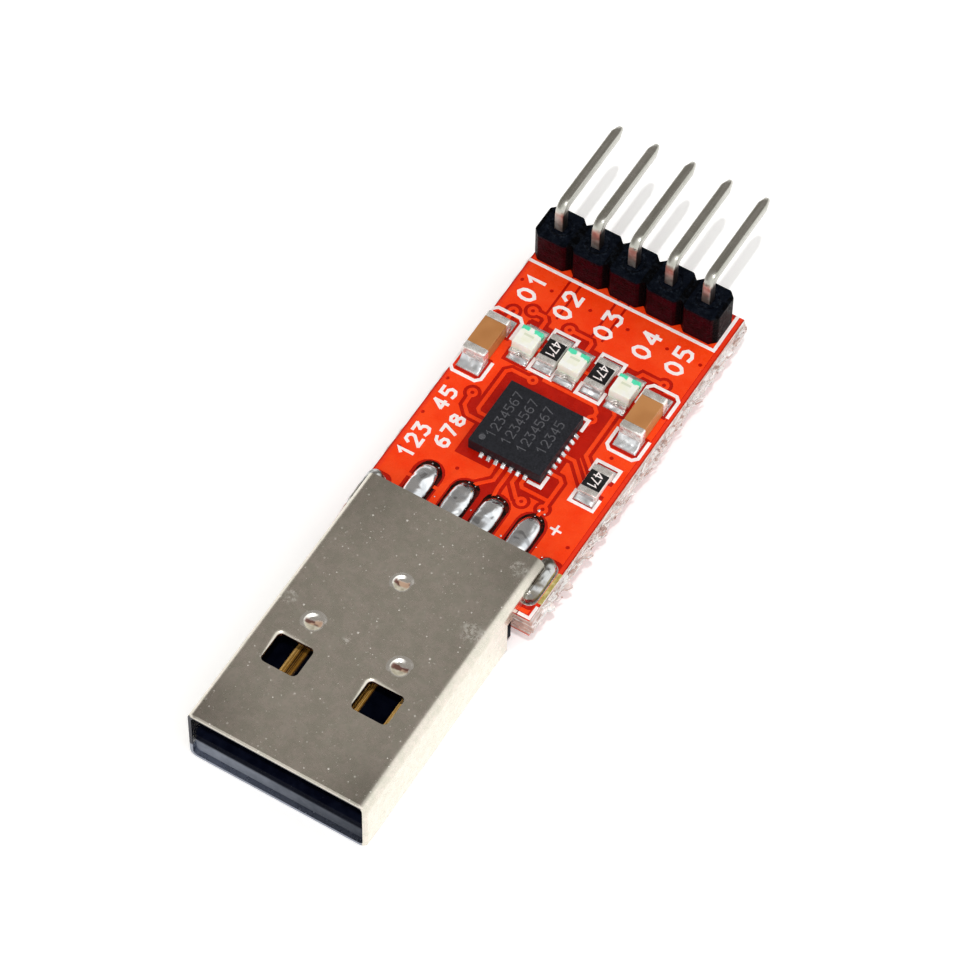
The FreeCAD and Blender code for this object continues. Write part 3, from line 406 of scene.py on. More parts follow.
def pin_metal():
    """Tinned pin: dull along its arm, with a painted pink reflection on its short upright part and a painted dark
    reflection on that part's right face.
    """
    s = Shader("pin_metal", 0.28, 1.0)
    streak = s.noise(1, 3, 0.5, 0, s.stretch(5, 0.3, 3))
    base = s.mix(s.ramp(streak, 0.3, 0.7), (0.50, 0.50, 0.45), (0.63, 0.62, 0.58))
    base = s.mix(s.ramp(s.y, PIN_Y + 0.6, PIN_Y + 6.5, 0.25, 0.0), base, (0.36, 0.36, 0.31))
    # Painted pink reflection on the short upright part, and a painted dark reflection on its right face.
    upright = s.times(s.ramp(s.z, PIN_TOP - 0.45, PIN_TOP - 0.9), s.ramp(s.y, PIN_Y + 0.5, PIN_Y + 0.4))
    base = s.mix(upright, base, s.mix(s.ramp(s.noise(1.6, 2), 0.35, 0.65), (0.60, 0.44, 0.38), (0.90, 0.80, 0.74)))
    base = s.mix(s.times(upright, s.ramp(from_pin(s), 0.22, 0.30)), base, (0.05, 0.04, 0.04))
    s.set(base_color=base)
    rough = s.ramp(s.noise(1.5, 2), 0.3, 0.7, 0.22, 0.30)
    s.set(roughness=s.math("ADD", rough, s.times(upright, 0.2)))
    s.bump(streak, 0.004)
    s.bump(s.noise(10, 3), 0.002)
    return s.material


def gold():
    """Gilt strip with lengthwise stripes of painted highlight and dark stripes of painted shade between them."""
    s = Shader("contact_gold", 0.3, 0.2)
    # Painted light: the bright stripes are painted highlights, the dark ones painted shade.
    streak = s.noise(1, 2, 0.5, 0, s.stretch(8.5, 0.04, 1))
    tone = s.mix(s.ramp(streak, 0.38, 0.46), (0.045, 0.02, 0.008), (0.42, 0.20, 0.03))
    s.set(base_color=s.mix(s.ramp(streak, 0.50, 0.58), tone, (1.0, 0.62, 0.20)))
    s.set(roughness=s.ramp(s.noise(3), 0.3, 0.7, 0.2, 0.3))
    s.bump(streak, 0.05)
    return s.material


def solder_mask(name, dark, light, peel):
    """Glossy red mask, with a brighter line along both sides of the board."""
    s = Shader(name, 0.28, 0.0, 1.5, 0.22)
    base = s.mix(s.ramp(s.noise(0.8, 3), 0.3, 0.7), dark, light)
    out = s.math("ABSOLUTE", s.x)
    margin = s.times(s.ramp(out, BOARD_HALF - 0.34, BOARD_HALF - 0.26, 0.0, 0.8),
                     s.ramp(out, BOARD_HALF - 0.04, BOARD_HALF - 0.09))
    s.set(base_color=s.mix(margin, base, (0.90, 0.045, 0.012)))
    s.set(roughness=s.ramp(s.noise(2.5, 3), 0.3, 0.7, 0.2, 0.36))
    s.bump(s.noise(2.0, 2), peel)
    s.bump(s.noise(14, 2), peel * 0.12)
    return s.material


def laminate():
    """Cut glass-fibre board: layers of weave, with loose white fibres and pink resin."""
    s = Shader("laminate_edge", 0.55, 0.0, 1.5, 0.35)
    layers = s.noise(1.0, 3, 0.6, 0.6, s.stretch(0.35, 0.35, 5.0))
    fibres = s.noise(1.0, 4, 0.75, 0.5, s.stretch(2.4, 1.6, 16.0))
    distance = s.cells(2.6, s.stretch(1.0, 0.6, 1.3))[0]
    tone = s.mix(s.ramp(layers, 0.38, 0.62), (0.72, 0.52, 0.47), (0.97, 0.93, 0.92))
    tone = s.mix(s.ramp(fibres, 0.50, 0.62, 0.0, 0.8), tone, (1.0, 0.98, 0.97))
    tone = s.mix(s.ramp(distance, 0.55, 0.8, 0.0, 0.4), tone, (0.52, 0.40, 0.36))
    tone = s.mix(s.times(s.ramp(s.y, 0.25, 0.05), s.ramp(layers, 0.62, 0.42, 0.3, 0.9)), tone, (0.66, 0.36, 0.29))
    tone = s.mix(s.ramp(s.z, 1.70, 1.5, 0.0, 0.85), tone, (0.80, 0.12, 0.07))
    top = s.ramp(s.z, 3.0, 3.018)
    s.set(base_color=s.mix(top, tone, s.mix(s.ramp(s.noise(3, 3), 0.4, 0.6), (0.46, 0.37, 0.10), (0.62, 0.52, 0.22))))
    s.set(roughness=s.ramp(fibres, 0.3, 0.7, 0.25, 0.7), subsurface_weight=0.12)
    s.surface.inputs["Subsurface Radius"].default_value = (0.0009, 0.0005, 0.0004)
    s.bump(layers, 0.10)
    s.bump(fibres, 0.10)
    s.bump(distance, 0.12)
    return s.material


def splinters_look():
    """Loose glass fibres and chips of resin along the snapped side."""
    s = Shader("splinters", 0.35, 0.0, 1.5, 0.5)
    tone = s.noise(1.3, 3, 0.7)
    base = s.mix(s.ramp(tone, 0.40, 0.5), (0.55, 0.36, 0.31), (0.95, 0.90, 0.88))
    s.set(base_color=s.mix(s.ramp(tone, 0.52, 0.62), base, (1.0, 0.99, 0.97)))
    s.set(roughness=s.ramp(s.noise(6), 0.3, 0.7, 0.2, 0.5), transmission_weight=0.25)
    s.bump(s.noise(8, 3), 0.03)
    return s.material


def printing():
    s = Shader("white_ink", 0.45, specular=0.3)
    s.set(base_color=s.mix(s.ramp(s.noise(3.0, 4, 0.65), 0.3, 0.75), (0.96, 0.83, 0.82), (1.0, 0.97, 0.96)))
    s.bump(s.noise(9, 3), 0.006)
    return s.material


def faint_marking():
    s = Shader("faint_marking", 0.5)
    s.set(base_color=s.mix(s.ramp(s.noise(14, 3, 0.7), 0.3, 0.7), (0.03, 0.032, 0.038), (0.12, 0.12, 0.135)))
    return s.material


def chip_plastic():
    s = Shader("chip_plastic", 0.5, specular=0.3)
    sand = s.noise(11, 3, 0.75)
    base = s.mix(s.ramp(sand, 0.35, 0.7), (0.004, 0.005, 0.008), (0.021, 0.022, 0.030))
    base = s.mix(specks(s, 7, 0.16, 0.3, 0.5), base, (0.16, 0.16, 0.17))
    base = s.mix(s.ramp(s.x, CHIP_LOW.x, CHIP_HIGH.x, 0.35, 0.0), base, (0.006, 0.007, 0.010))
    s.set(base_color=base, roughness=s.ramp(sand, 0.3, 0.7, 0.45, 0.65))
    s.bump(sand, 0.015)
    return s.material


def led_resin(index, middle):
    """Cream resin over a pale carrier, with two mint marks that show at the back end."""
    s = Shader("led_resin_%d" % index, 0.22, 0.0, 1.5, 0.5)
    across = s.away(s.x, middle.x)
    along = s.math("SUBTRACT", s.y, middle.y)
    wobble = s.times(s.math("SUBTRACT", s.noise(3.0, 3, 0.6), 0.5), 0.4)
    back = s.ramp(s.math("ADD", along, wobble), 0.34, 0.42)
    mint = s.times(back, s.ramp(s.math("ADD", across, wobble), 0.12, 0.2))
    cream = s.mix(s.ramp(s.noise(1.8, 3), 0.3, 0.7), (0.93, 0.93, 0.80), (0.99, 0.99, 0.93))
    window = s.times(s.ramp(across, 0.36, 0.3), s.ramp(s.math("ABSOLUTE", along), 0.36, 0.3))
    line = s.times(window, s.ramp(s.away(along, 0.12), 0.1, 0.06))
    cream = s.mix(s.times(window, 0.3), cream, (0.84, 0.86, 0.62))
    cream = s.mix(s.times(line, 0.55), cream, (0.55, 0.60, 0.42))
    s.set(base_color=s.mix(mint, cream, (0.10, 0.78, 0.48)), subsurface_weight=0.3)
    s.surface.inputs["Subsurface Radius"].default_value = (0.0006, 0.0006, 0.0004)
    s.bump(s.noise(2.0, 2), 0.03)
    return s.material


def ceramic(name, dark, light, rough):
    s = Shader(name, rough)
    speck = s.noise(9, 3, 0.7)
    s.set(base_color=s.mix(s.ramp(speck, 0.3, 0.7), dark, light))
    s.bump(speck, 0.006)
    return s.material


def capacitor_ceramic():
    s = Shader("capacitor_brown", 0.4)
    band = s.ramp(s.noise(1, 2, 0.5, 0, s.stretch(0.4, 0.4, 6)), 0.35, 0.65)
    s.set(base_color=s.mix(band, (0.43, 0.175, 0.05), (0.52, 0.23, 0.075)))
    s.set(roughness=s.ramp(s.noise(6), 0.3, 0.7, 0.34, 0.5))
    s.bump(s.noise(10, 3), 0.006)
    return s.material


def flux():
    s = Shader("burnt_flux", 0.24, 0.0, 1.5, 0.12)
    s.set(base_color=s.mix(s.ramp(s.noise(3.5, 3), 0.4, 0.65), (0.004, 0.002, 0.0015), (0.08, 0.006, 0.003)))
    s.bump(s.noise(4, 2), 0.03)
    return s.material


LOOKS = {
    "shell": shell_metal(),
    "coin": coin_metal(),
    "plug": plug_plastic(),
    "gold": gold(),
    "laminate": laminate(),
    "splinters": splinters_look(),
    "mask": solder_mask("mask_red_dark", (0.44, 0.006, 0.001), (0.54, 0.010, 0.0015), 0.012),
    "copper": solder_mask("mask_red_bright", (0.97, 0.046, 0.004), (1.0, 0.068, 0.010), 0.014),
    "tin": metal("tinned_pad", (0.66, 0.60, 0.58), (0.88, 0.85, 0.83), 0.28, 3.0, 0.03, 0.8),
    "solder": solder_metal("solder", (0.70, 0.73, 0.77), (0.90, 0.92, 0.95), 0.13),
    # Painted shade and a painted brown reflection: the tab's solder is a darker, browner copy of the solder.
    "tab solder": solder_metal("tab_solder", (0.20, 0.18, 0.15), (0.56, 0.57, 0.57), 0.16, 0.2),
    "small solder": small_solder(),
    "ink": printing(),
    "marking": faint_marking(),
    "header": header_plastic(),
    "pin": pin_metal(),
    "chip": chip_plastic(),
    "white": ceramic("ceramic_white", (0.78, 0.76, 0.72), (0.88, 0.87, 0.84), 0.45),
    "coat": moulded("resistor_coat", (0.008, 0.008, 0.009), (0.016, 0.016, 0.017), 0.3, 10, 0.006, 0.3),
    "ends": metal("part_ends", (0.72, 0.68, 0.64), (0.92, 0.90, 0.87), 0.26, 2.4, 0.03, 0.65),
    "carrier": ceramic("led_base", (0.72, 0.82, 0.68), (0.86, 0.92, 0.80), 0.4),
    "brown": capacitor_ceramic(),
    "flux": flux(),
}
# Look of each node by the start of its name; the first that fits is taken
BY_NODE = {
    "plug_shell": "shell", "plug_insulator": "plug", "plug_contact": "gold", "board_laminate": "laminate",
    "solder_mask": "mask", "copper_pattern_bottom": "mask", "copper_pattern": "copper", "pads": "tin",
    "chip_lands": "small solder", "contact_solder": "solder", "tab_solder": "tab solder", "header_solder": "solder",
    "chip_solder": "small solder", "part_solder": "small solder", "silkscreen": "ink", "header_body": "header",
    "header_pin": "pin", "chip_body": "chip",
}


def look_for(name):
    for start, look in BY_NODE.items():
        if name.startswith(start):
            return LOOKS[look]
    kind, number, piece = name.split("_")
    if piece == "lens":
        return led_resin(int(number), LEDS[int(number) - 1])
    if piece == "ends":
        return LOOKS["ends"]
    return LOOKS[{"resistor_body": "white", "resistor_coat": "coat", "led_base": "carrier",
                  "capacitor_body": "brown"}[kind + "_" + piece]]


for name, piece in nodes.items():
    piece.data.materials.clear()
    piece.data.materials.append(look_for(name))


# Softened edges on the solids that catch the light
def soften(name, width):
    piece = nodes[name]
    weld = piece.modifiers.new("weld", "WELD")
    weld.merge_threshold = 0.0005 * MM
    plane = piece.modifiers.new("plane", "DECIMATE")
    plane.decimate_type = "DISSOLVE"
    plane.angle_limit = math.radians(1)
    bevel = piece.modifiers.new("bevel", "BEVEL")
    bevel.width = width * MM
    bevel.segments = 2
    bevel.limit_method = "ANGLE"
    bevel.angle_limit = math.radians(35)
    shade = piece.modifiers.new("shade", "WEIGHTED_NORMAL")
    shade.keep_sharp = False
    for face in piece.data.polygons:
        face.use_smooth = True


def melt(name, grain, lumps):
    """Turns a faceted run of solder into one smooth, slightly lumpy drop."""
    piece = nodes[name]
    remesh = piece.modifiers.new("remesh", "REMESH")
    remesh.mode = "VOXEL"
    remesh.voxel_size = grain * MM
    smooth = piece.modifiers.new("smooth", "SMOOTH")
    smooth.factor = 0.5
    smooth.iterations = 8
    texture = bpy.data.textures.new(name, "CLOUDS")
    texture.noise_scale = 1.1 * MM
    texture.noise_depth = 0
    lump = piece.modifiers.new("lumps", "DISPLACE")
    lump.texture = texture
    lump.texture_coords = "LOCAL"
    lump.strength = lumps * MM
    for face in piece.data.polygons:
        face.use_smooth = True


# Width of the softened edge, and grain and lumps of the solder, by the start of a node's name
EDGES = {
    "header_pin": 0.12, "header_body": 0.06, "plug_insulator": 0.06, "chip_body": 0.035, "capacitor": 0.035,
    "led": 0.035, "resistor": 0.02, "plug_contact": 0.02, "pads": 0.02, "silkscreen": 0.008,
    "copper_pattern_top": 0.008,
}
MELTS = {"tab_solder": (0.06, 0.08), "header_solder": (0.06, 0.12), "part_solder": (0.04, 0.1),
         "chip_solder": (0.025, 0.05)}
for name in nodes:
    for start, width in EDGES.items():
        if name.startswith(start):
            soften(name, width)
    for start, (grain, lumps) in MELTS.items():
        if name.startswith(start):
            melt(name, grain, lumps)


# New pieces
def piece_from(make, name, look, smooth=False):
    mesh = bpy.data.meshes.new(name)
    bm = bmesh.new()
    make(bm)
    bmesh.ops.recalc_face_normals(bm, faces=bm.faces)
    bm.to_mesh(mesh)
    bm.free()
    mesh.transform(Matrix.Scale(MM, 4) @ Matrix.Translation(DATUM))
    for face in mesh.polygons:
        face.use_smooth = smooth
    piece = bpy.data.objects.new(name, mesh)
    bpy.context.scene.collection.objects.link(piece)
    mesh.materials.append(LOOKS[look])
    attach(piece, "root")
    return piece


def heading(start, end):
    dx, dy = end[0] - start[0], end[1] - start[1]
    length = math.hypot(dx, dy)
    return dx / length, dy / length


def add_strip(bm, points, width, z0, z1, overrun=0.0):
    """Flat strip along a bent line, mitred at its corners."""
    headings = [heading(a, b) for a, b in zip(points, points[1:])]
    rings = []
    for i, (x, y) in enumerate(points):
        into = headings[max(i - 1, 0)]
        out = headings[min(i, len(headings) - 1)]
        if i == 0:
            x, y = x - out[0] * overrun, y - out[1] * overrun
        if i == len(points) - 1:
            x, y = x + into[0] * overrun, y + into[1] * overrun
        across = heading((0, 0), (-into[1] - out[1], into[0] + out[0]))
        reach = width / 2 / max(0.5, into[0] * across[1] - into[1] * across[0])
        left = (x + across[0] * reach, y + across[1] * reach)
        right = (x - across[0] * reach, y - across[1] * reach)
        rings.append([bm.verts.new((*left, z1)), bm.verts.new((*right, z1)),
                      bm.verts.new((*right, z0)), bm.verts.new((*left, z0))])
    for a, b in zip(rings, rings[1:]):
        for k in range(4):
            bm.faces.new((a[k], a[(k + 1) % 4], b[(k + 1) % 4], b[k]))
    bm.faces.new(rings[0])
    bm.faces.new(rings[-1][::-1])


FIGURES = {
    "0": [[(0.3, 1), (0.08, 0.85), (0, 0.65), (0, 0.35), (0.08, 0.15), (0.3, 0)],
          [(0.3, 0), (0.52, 0.15), (0.6, 0.35), (0.6, 0.65), (0.52, 0.85), (0.3, 1)]],
    "1": [[(0.08, 0.75), (0.32, 1), (0.32, 0)]],
    "2": [[(0, 0.75), (0.15, 1), (0.45, 1), (0.6, 0.8), (0.58, 0.6), (0, 0)], [(0, 0), (0.6, 0)]],
    "3": [[(0, 1), (0.58, 1)], [(0.58, 1), (0.25, 0.6)],
          [(0.25, 0.6), (0.5, 0.55), (0.6, 0.35), (0.55, 0.1), (0.3, 0), (0, 0.08)]],
    "4": [[(0.45, 0), (0.45, 1)], [(0.45, 1), (0, 0.3)], [(0, 0.3), (0.6, 0.3)]],
    "5": [[(0.58, 1), (0.05, 1), (0, 0.58)],
          [(0, 0.58), (0.4, 0.6), (0.6, 0.4), (0.55, 0.12), (0.3, 0), (0, 0.06)]],
    "6": [[(0.5, 1), (0.2, 0.9), (0, 0.6), (0, 0.2), (0.15, 0), (0.45, 0), (0.6, 0.2), (0.55, 0.45)],
          [(0.55, 0.45), (0.3, 0.55), (0, 0.42)]],
    "7": [[(0, 1), (0.6, 1)], [(0.6, 1), (0.2, 0)]],
    "8": [[(0.3, 0.54), (0.05, 0.68), (0.05, 0.88), (0.3, 1)], [(0.3, 1), (0.55, 0.88), (0.55, 0.68), (0.3, 0.54)],
          [(0.3, 0.54), (0, 0.36), (0.02, 0.12), (0.3, 0)], [(0.3, 0), (0.58, 0.12), (0.6, 0.36), (0.3, 0.54)]],
}
# Each further line of a figure stands this much higher, so that no two tops share a plane
STROKE_STEP = 0.003


def add_figures(bm, text, x, y, height, step, stroke, turn, z0, z1):
    """Plain figures that read along the board, upwards for turn 1 and downwards for turn -1."""
    start = -((len(text) - 1) * step + 0.6 * height) / 2
    for i, figure in enumerate(text):
        for k, line in enumerate(FIGURES[figure]):
            points = []
            for u, v in line:
                up = (v - 0.5) * height
                along = start + i * step + u * height
                points.append((x - turn * up, y + turn * along))
            add_strip(bm, points, stroke, z0, z1 + k * STROKE_STEP, stroke * 0.3)


def board_figures(bm):
    top = COPPER_TOP + 0.02
    for text, x in (("01", -5.395), ("02", -2.895), ("03", -0.075), ("04", 2.575), ("05", 4.825)):
        add_figures(bm, text, x, 20.2, 1.08, 1.2, 0.22, 1, COPPER_TOP, top)
    for text, x, y, height, step in (("123", -5.625, 7.15, 0.95, 0.9), ("45", -5.655, 10.65, 0.9, 0.95),
                                     ("678", -4.175, 8.8, 0.85, 0.88)):
        add_figures(bm, text, x, y, height, step, 0.2, 1, COPPER_TOP, top)


def resistor_figures(bm):
    for low, high in COATS:
        add_figures(bm, "471", (low.x + high.x) / 2, (low.y + high.y) / 2, 0.56, 0.4, 0.075, -1,
                    high.z, high.z + 0.012)


def chip_marks(bm):
    top = CHIP_HIGH.z
    rows = (("1234567", 0.92), ("1234567", 1.94), ("1234567", 3.0), ("12345", 4.05))
    for text, across in rows:
        add_figures(bm, text, CHIP_LOW.x + across, CHIP_LOW.y + 2.62, 0.58, 0.52, 0.075, 1, top, top + 0.006)


piece_from(board_figures, "board_figures", "ink")
piece_from(resistor_figures, "resistor_figures", "ink")
piece_from(chip_marks, "chip_marks", "marking")


def add_disc(bm, x, y, size, z0, z1, sides=20):
    turns = [2 * math.pi * i / sides for i in range(sides)]
    low = [bm.verts.new((x + size / 2 * math.cos(a), y + size / 2 * math.sin(a), z0)) for a in turns]
    high = [bm.verts.new((x + size / 2 * math.cos(a), y + size / 2 * math.sin(a), z1)) for a in turns]
    bm.faces.new(low[::-1])
    bm.faces.new(high)
    for i in range(sides):
        bm.faces.new((low[i - 1], low[i], high[i], high[i - 1]))


def first_pin_dot(bm):
    add_disc(bm, CHIP_LOW.x + 0.6, CHIP_LOW.y + 0.6, 0.42, CHIP_HIGH.z - 0.04, CHIP_HIGH.z - 0.03)


piece_from(first_pin_dot, "first_pin_dot", "marking")


def flux_rings(bm):
    """Dark glassy flux round each joint on the plug's contacts."""
    rng = random.Random(5)
    middle = CONTACT_PAD_END - CONTACT_PAD_HALF
    under_shell = 2.7
    count = 48
    for x in CONTACT_XS:
        inner, outer = [], []
        for i in range(count + 1):
            angle = math.pi * i / count
            wave = 0.20 + 0.05 * math.sin(3 * angle + x) + 0.04 * math.sin(angle) + rng.uniform(-0.015, 0.015)
            for ring, reach in ((inner, CONTACT_PAD_HALF - 0.2), (outer, CONTACT_PAD_HALF + wave)):
                ring.append((x + reach * math.cos(angle), middle + reach * math.sin(angle)))
        for ring in (inner, outer):
            ring.insert(0, (ring[0][0], under_shell))
            ring.append((ring[-1][0], under_shell))
        z = BOARD_TOP + 0.012
        a = [bm.verts.new((px, py, z + 0.10)) for px, py in inner]
        b = [bm.verts.new((px, py, z)) for px, py in outer]
        for i in range(len(a) - 1):
            bm.faces.new((a[i], a[i + 1], b[i + 1], b[i]))


piece_from(flux_rings, "flux_rings", "flux", True)


def add_drop(bm, x, y, z, size, squash, seed):
    """Small uneven drop that sits on a surface."""
    made = bmesh.ops.create_icosphere(bm, subdivisions=2, radius=size / 2)["verts"]
    for vert in made:
        swell = 1 + 0.35 * noise.noise(vert.co * (2.2 / size) + Vector((seed, 0, 0)))
        vert.co = Vector((x + vert.co.x * swell, y + vert.co.y * swell, z + vert.co.z * swell * squash))


def solder_specks(bm):
    """Spatter near the contacts and the tab."""
    spots = ((3.2, 6.75, 0.2), (3.6, 6.7, 0.13), (4.6, 3.9, 0.12), (5.0, 4.1, 0.1), (-0.2, 4.7, 0.1), (4.35, 4.5, 0.08),
             (2.2, 4.1, 0.14), (-2.5, 4.4, 0.1), (5.6, 2.9, 0.1))
    spots += tuple((x + dx, 6.32 - 0.25 * abs(dx), size)
                   for x in CONTACT_XS for dx, size in ((-0.12, 0.11), (0.34, 0.09)))
    for i, (x, y, size) in enumerate(spots):
        add_drop(bm, x, y, COPPER_TOP, size, 0.6, i)


piece_from(solder_specks, "solder_specks", "small solder", True)


def ease(value):
    value = min(1, max(0, value))
    return value * value * (3 - 2 * value)


def bridge(bm, rings):
    """Faces from each closed ring of points to the next."""
    for low, high in zip(rings, rings[1:]):
        for i in range(len(low)):
            bm.faces.new((low[i - 1], low[i], high[i], high[i - 1]))


def window_outline(grow):
    """Round-cornered outline of a punched window about its middle, grown by a margin."""
    radius = WINDOW_CORNER + grow
    points = []
    for corner in range(4):
        cx = (WINDOW_HALF[0] - WINDOW_CORNER) * (1, -1, -1, 1)[corner]
        cy = (WINDOW_HALF[1] - WINDOW_CORNER) * (1, 1, -1, -1)[corner]
        for i in range(9):
            angle = math.pi / 2 * (corner + i / 8)
            points.append((cx + radius * math.cos(angle), cy + radius * math.sin(angle)))
    return points


def window_lips(bm):
    """Rolled lip round each window: full at the back and left, fading to nothing at the front and right."""
    # Margin and rise of each ring of the lip
    levels = ((-0.05, -0.055), (-0.02, -0.018), (0.02, 0.018), (0.07, 0.044), (0.13, 0.062), (0.20, 0.070),
              (0.30, 0.066), (0.45, 0.045), (0.62, 0.012), (0.72, -0.006))
    flat = window_outline(0)
    for x in WINDOW_XS:
        rings = []
        for grow, rise in levels:
            ring = []
            for (px, py), (qx, qy) in zip(window_outline(grow), flat):
                share = ease((WINDOW_HALF[0] - 0.08 - qx) / 1.3) * ease((WINDOW_HALF[1] - 0.05 + qy) / 1.3)
                near = 0.04 + 0.96 * min(1, share * 3)
                px, py = qx + (px - qx) * near, qy + (py - qy) * near
                ring.append(bm.verts.new((x + px, WINDOW_Y + py, SHELL_TOP + rise * share - 0.006 * (1 - share))))
            rings.append(ring)
        bridge(bm, rings)


piece_from(window_lips, "window_lips", "shell", True)


def raised(out):
    """How far a hollow's rim stands up: fully at the back and left, not at all at the front and right."""
    return ease(0.5 + 1.1 * (out[1] * 0.8 - out[0] * 0.6))


def coin_dishes(bm):
    """Pressed hollows: a raised back rim that falls steeply, and a long gentle slope at the front."""
    around = 40
    shares = (0.12, 0.25, 0.38, 0.5, 0.6, 0.68, 0.76, 0.84, 0.92, 1.0, 1.08, 1.18, 1.32)
    for index, (x, y, radius) in enumerate(COINS):
        rings = []
        for share in shares:
            ring = []
            for i in range(around):
                angle = 2 * math.pi * i / around
                out = (math.cos(angle), math.sin(angle))
                up = raised(out)
                start = 0.2 + 0.35 * up
                height = -0.07 * (1 - ease((share - start) / (1.0 - start)))
                height += 0.045 * up * ease((share - 0.7) / 0.35) - 0.05 * up * ease((share - 1.04) / 0.28)
                height -= 0.012 * (1 - up) * ease((share - 0.95) / 0.1)
                px, py = radius * share * out[0], radius * share * out[1]
                crumple = 0.02 * noise.noise(Vector((px * 3, py * 3, index * 7))) * max(0, 1 - share)
                ring.append(bm.verts.new((x + px, y + py, SHELL_TOP + height + crumple + 0.004)))
            rings.append(ring)
        centre = bm.verts.new((x, y, SHELL_TOP - 0.066))
        for i in range(around):
            bm.faces.new((centre, rings[0][i - 1], rings[0][i]))
        bridge(bm, rings)


piece_from(coin_dishes, "coin_dishes", "coin", True)


def solder_egg(bm, name, seed):
    """One joint on a contact's tail: full at the back, narrower towards the plug, steep at its foot."""
    low, high = place_of(name)
    middle, half = (low + high) / 2, (high - low) / 2
    around, levels = 56, 16
    spread = 0.14  # how far the joint is wider than its node, on each side
    roundness = 0.72
    height = (high.z - low.z) * 0.93
    rings = []
    for level in range(levels):
        share = math.cos(math.pi / 2 * level / levels) ** 0.8
        rise = (1 - share ** 2.4) ** 0.62
        ring = []
        for i in range(around):
            angle = 2 * math.pi * i / around
            u, v = math.cos(angle), math.sin(angle)
            px = share * math.copysign(abs(u) ** roundness, u) * (half.x + spread - 0.12 * max(0, -v))
            py = share * math.copysign(abs(v) ** roundness, v) * half.y
            swell = 0.12 * noise.noise(Vector((px * 1.3, py * 0.9, seed * 3.7))) * (1 - share ** 2)
            ring.append(bm.verts.new((middle.x + px, middle.y + py, low.z + height * rise + swell)))
        rings.append(ring)
    top_swell = 0.12 * noise.noise(Vector((0, 0, seed * 3.7)))
    crown = bm.verts.new((middle.x, middle.y, low.z + height + top_swell))
    for i in range(around):
        bm.faces.new((rings[-1][i - 1], rings[-1][i], crown))
        for a, b in zip(rings, rings[1:]):
            bm.faces.new((a[i - 1], a[i], b[i], b[i - 1]))


for number in range(1, 5):
    node = "contact_solder_%d" % number
    egg = piece_from(lambda bm: solder_egg(bm, node, number), "solder_egg_%d" % number, "solder", True)
    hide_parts(node)


def splinters(bm):
    """Fibres and chips that stand out of the snapped right side."""
    rng = random.Random(11)
    for i in range(260):
        y = rng.uniform(0.1, BOARD_LENGTH - 0.2)
        length = rng.uniform(0.2, 0.9)
        thick = rng.uniform(0.02, 0.07)
        lean = rng.gauss(0, 0.22)
        rise = rng.gauss(0, 0.12)
        x = SIDE_FACE_X + rng.uniform(-0.04, 0.10)
        z = rng.uniform(1.75, 2.85)
        along = Vector((math.sin(lean) * math.cos(rise), math.cos(lean) * math.cos(rise), math.sin(rise)))
        across = Vector((0, 0, 1)).cross(along).normalized() * thick
        above = along.cross(across).normalized() * thick * rng.uniform(0.5, 1.2)
        start = Vector((x, y, z))
        end = start + along * length
        if end.x > SIDE_LIMIT_X - 0.08 or end.y > BOARD_LENGTH:
            continue
        ends = [[bm.verts.new(c + across * u + above * v) for u, v in ((-1, -1), (1, -1), (1, 1), (-1, 1))]
                for c in (start, end)]
        for k in range(4):
            bm.faces.new((ends[0][k - 1], ends[0][k], ends[1][k], ends[1][k - 1]))
        bm.faces.new(ends[0][::-1])
        bm.faces.new(ends[1])


piece_from(splinters, "splinters", "splinters")


# Camera at the photograph's viewpoint
AZIMUTH, ELEVATION, ROLL = math.radians(30.691), math.radians(56.607), math.radians(0.853)
DISTANCE = 291.449
FOCUS_PIXELS = 4961.29
PHOTO_PIXELS = 960
TARGET = Vector((-1.21, 7.398, 2.0)) + DATUM
back = Vector((math.sin(AZIMUTH) * math.cos(ELEVATION), -math.cos(AZIMUTH) * math.cos(ELEVATION),
               math.sin(ELEVATION)))
right = Vector((math.cos(AZIMUTH), math.sin(AZIMUTH), 0))
up = back.cross(right)
right, up = right * math.cos(ROLL) + up * math.sin(ROLL), up * math.cos(ROLL) - right * math.sin(ROLL)
camera = bpy.data.objects.new("camera", bpy.data.cameras.new("camera"))
bpy.context.scene.collection.objects.link(camera)
bpy.context.scene.camera = camera
turn = Matrix((right, up, back)).transposed().to_4x4()
camera.matrix_world = Matrix.Translation((TARGET + back * DISTANCE) * MM) @ turn
camera.data.sensor_width = 36
camera.data.lens = 36 * FOCUS_PIXELS / PHOTO_PIXELS
camera.data.clip_start = 0.01
camera.data.clip_end = 20


# Floor
FLOOR_LIFT = 0.22


def white_floor():
    """White floor that lifts itself a little for what sees or mirrors it, so that it reads as white."""
    material = bpy.data.materials.new("white_floor")
    material.use_nodes = True
    nodes_made, links = material.node_tree.nodes, material.node_tree.links
    surface = nodes_made["Principled BSDF"]
    surface.inputs["Base Color"].default_value = (0.99, 0.99, 0.99, 1)
    surface.inputs["Roughness"].default_value = 0.9
    surface.inputs["Specular IOR Level"].default_value = 0.0
    surface.inputs["Emission Color"].default_value = (1, 1, 1, 1)
    path = nodes_made.new("ShaderNodeLightPath")
    lift = 0
    for kind in ("Is Camera Ray", "Is Glossy Ray", "Is Transmission Ray"):
        add = nodes_made.new("ShaderNodeMath")
        add.operation = "MAXIMUM"
        links.new(path.outputs[kind], add.inputs[0])
        if lift:
            links.new(lift, add.inputs[1])
        else:
            add.inputs[1].default_value = 0
        lift = add.outputs[0]
    strength = nodes_made.new("ShaderNodeMath")
    strength.operation = "MULTIPLY"
    links.new(lift, strength.inputs[0])
    strength.inputs[1].default_value = FLOOR_LIFT
    links.new(strength.outputs[0], surface.inputs["Emission Strength"])
    return material


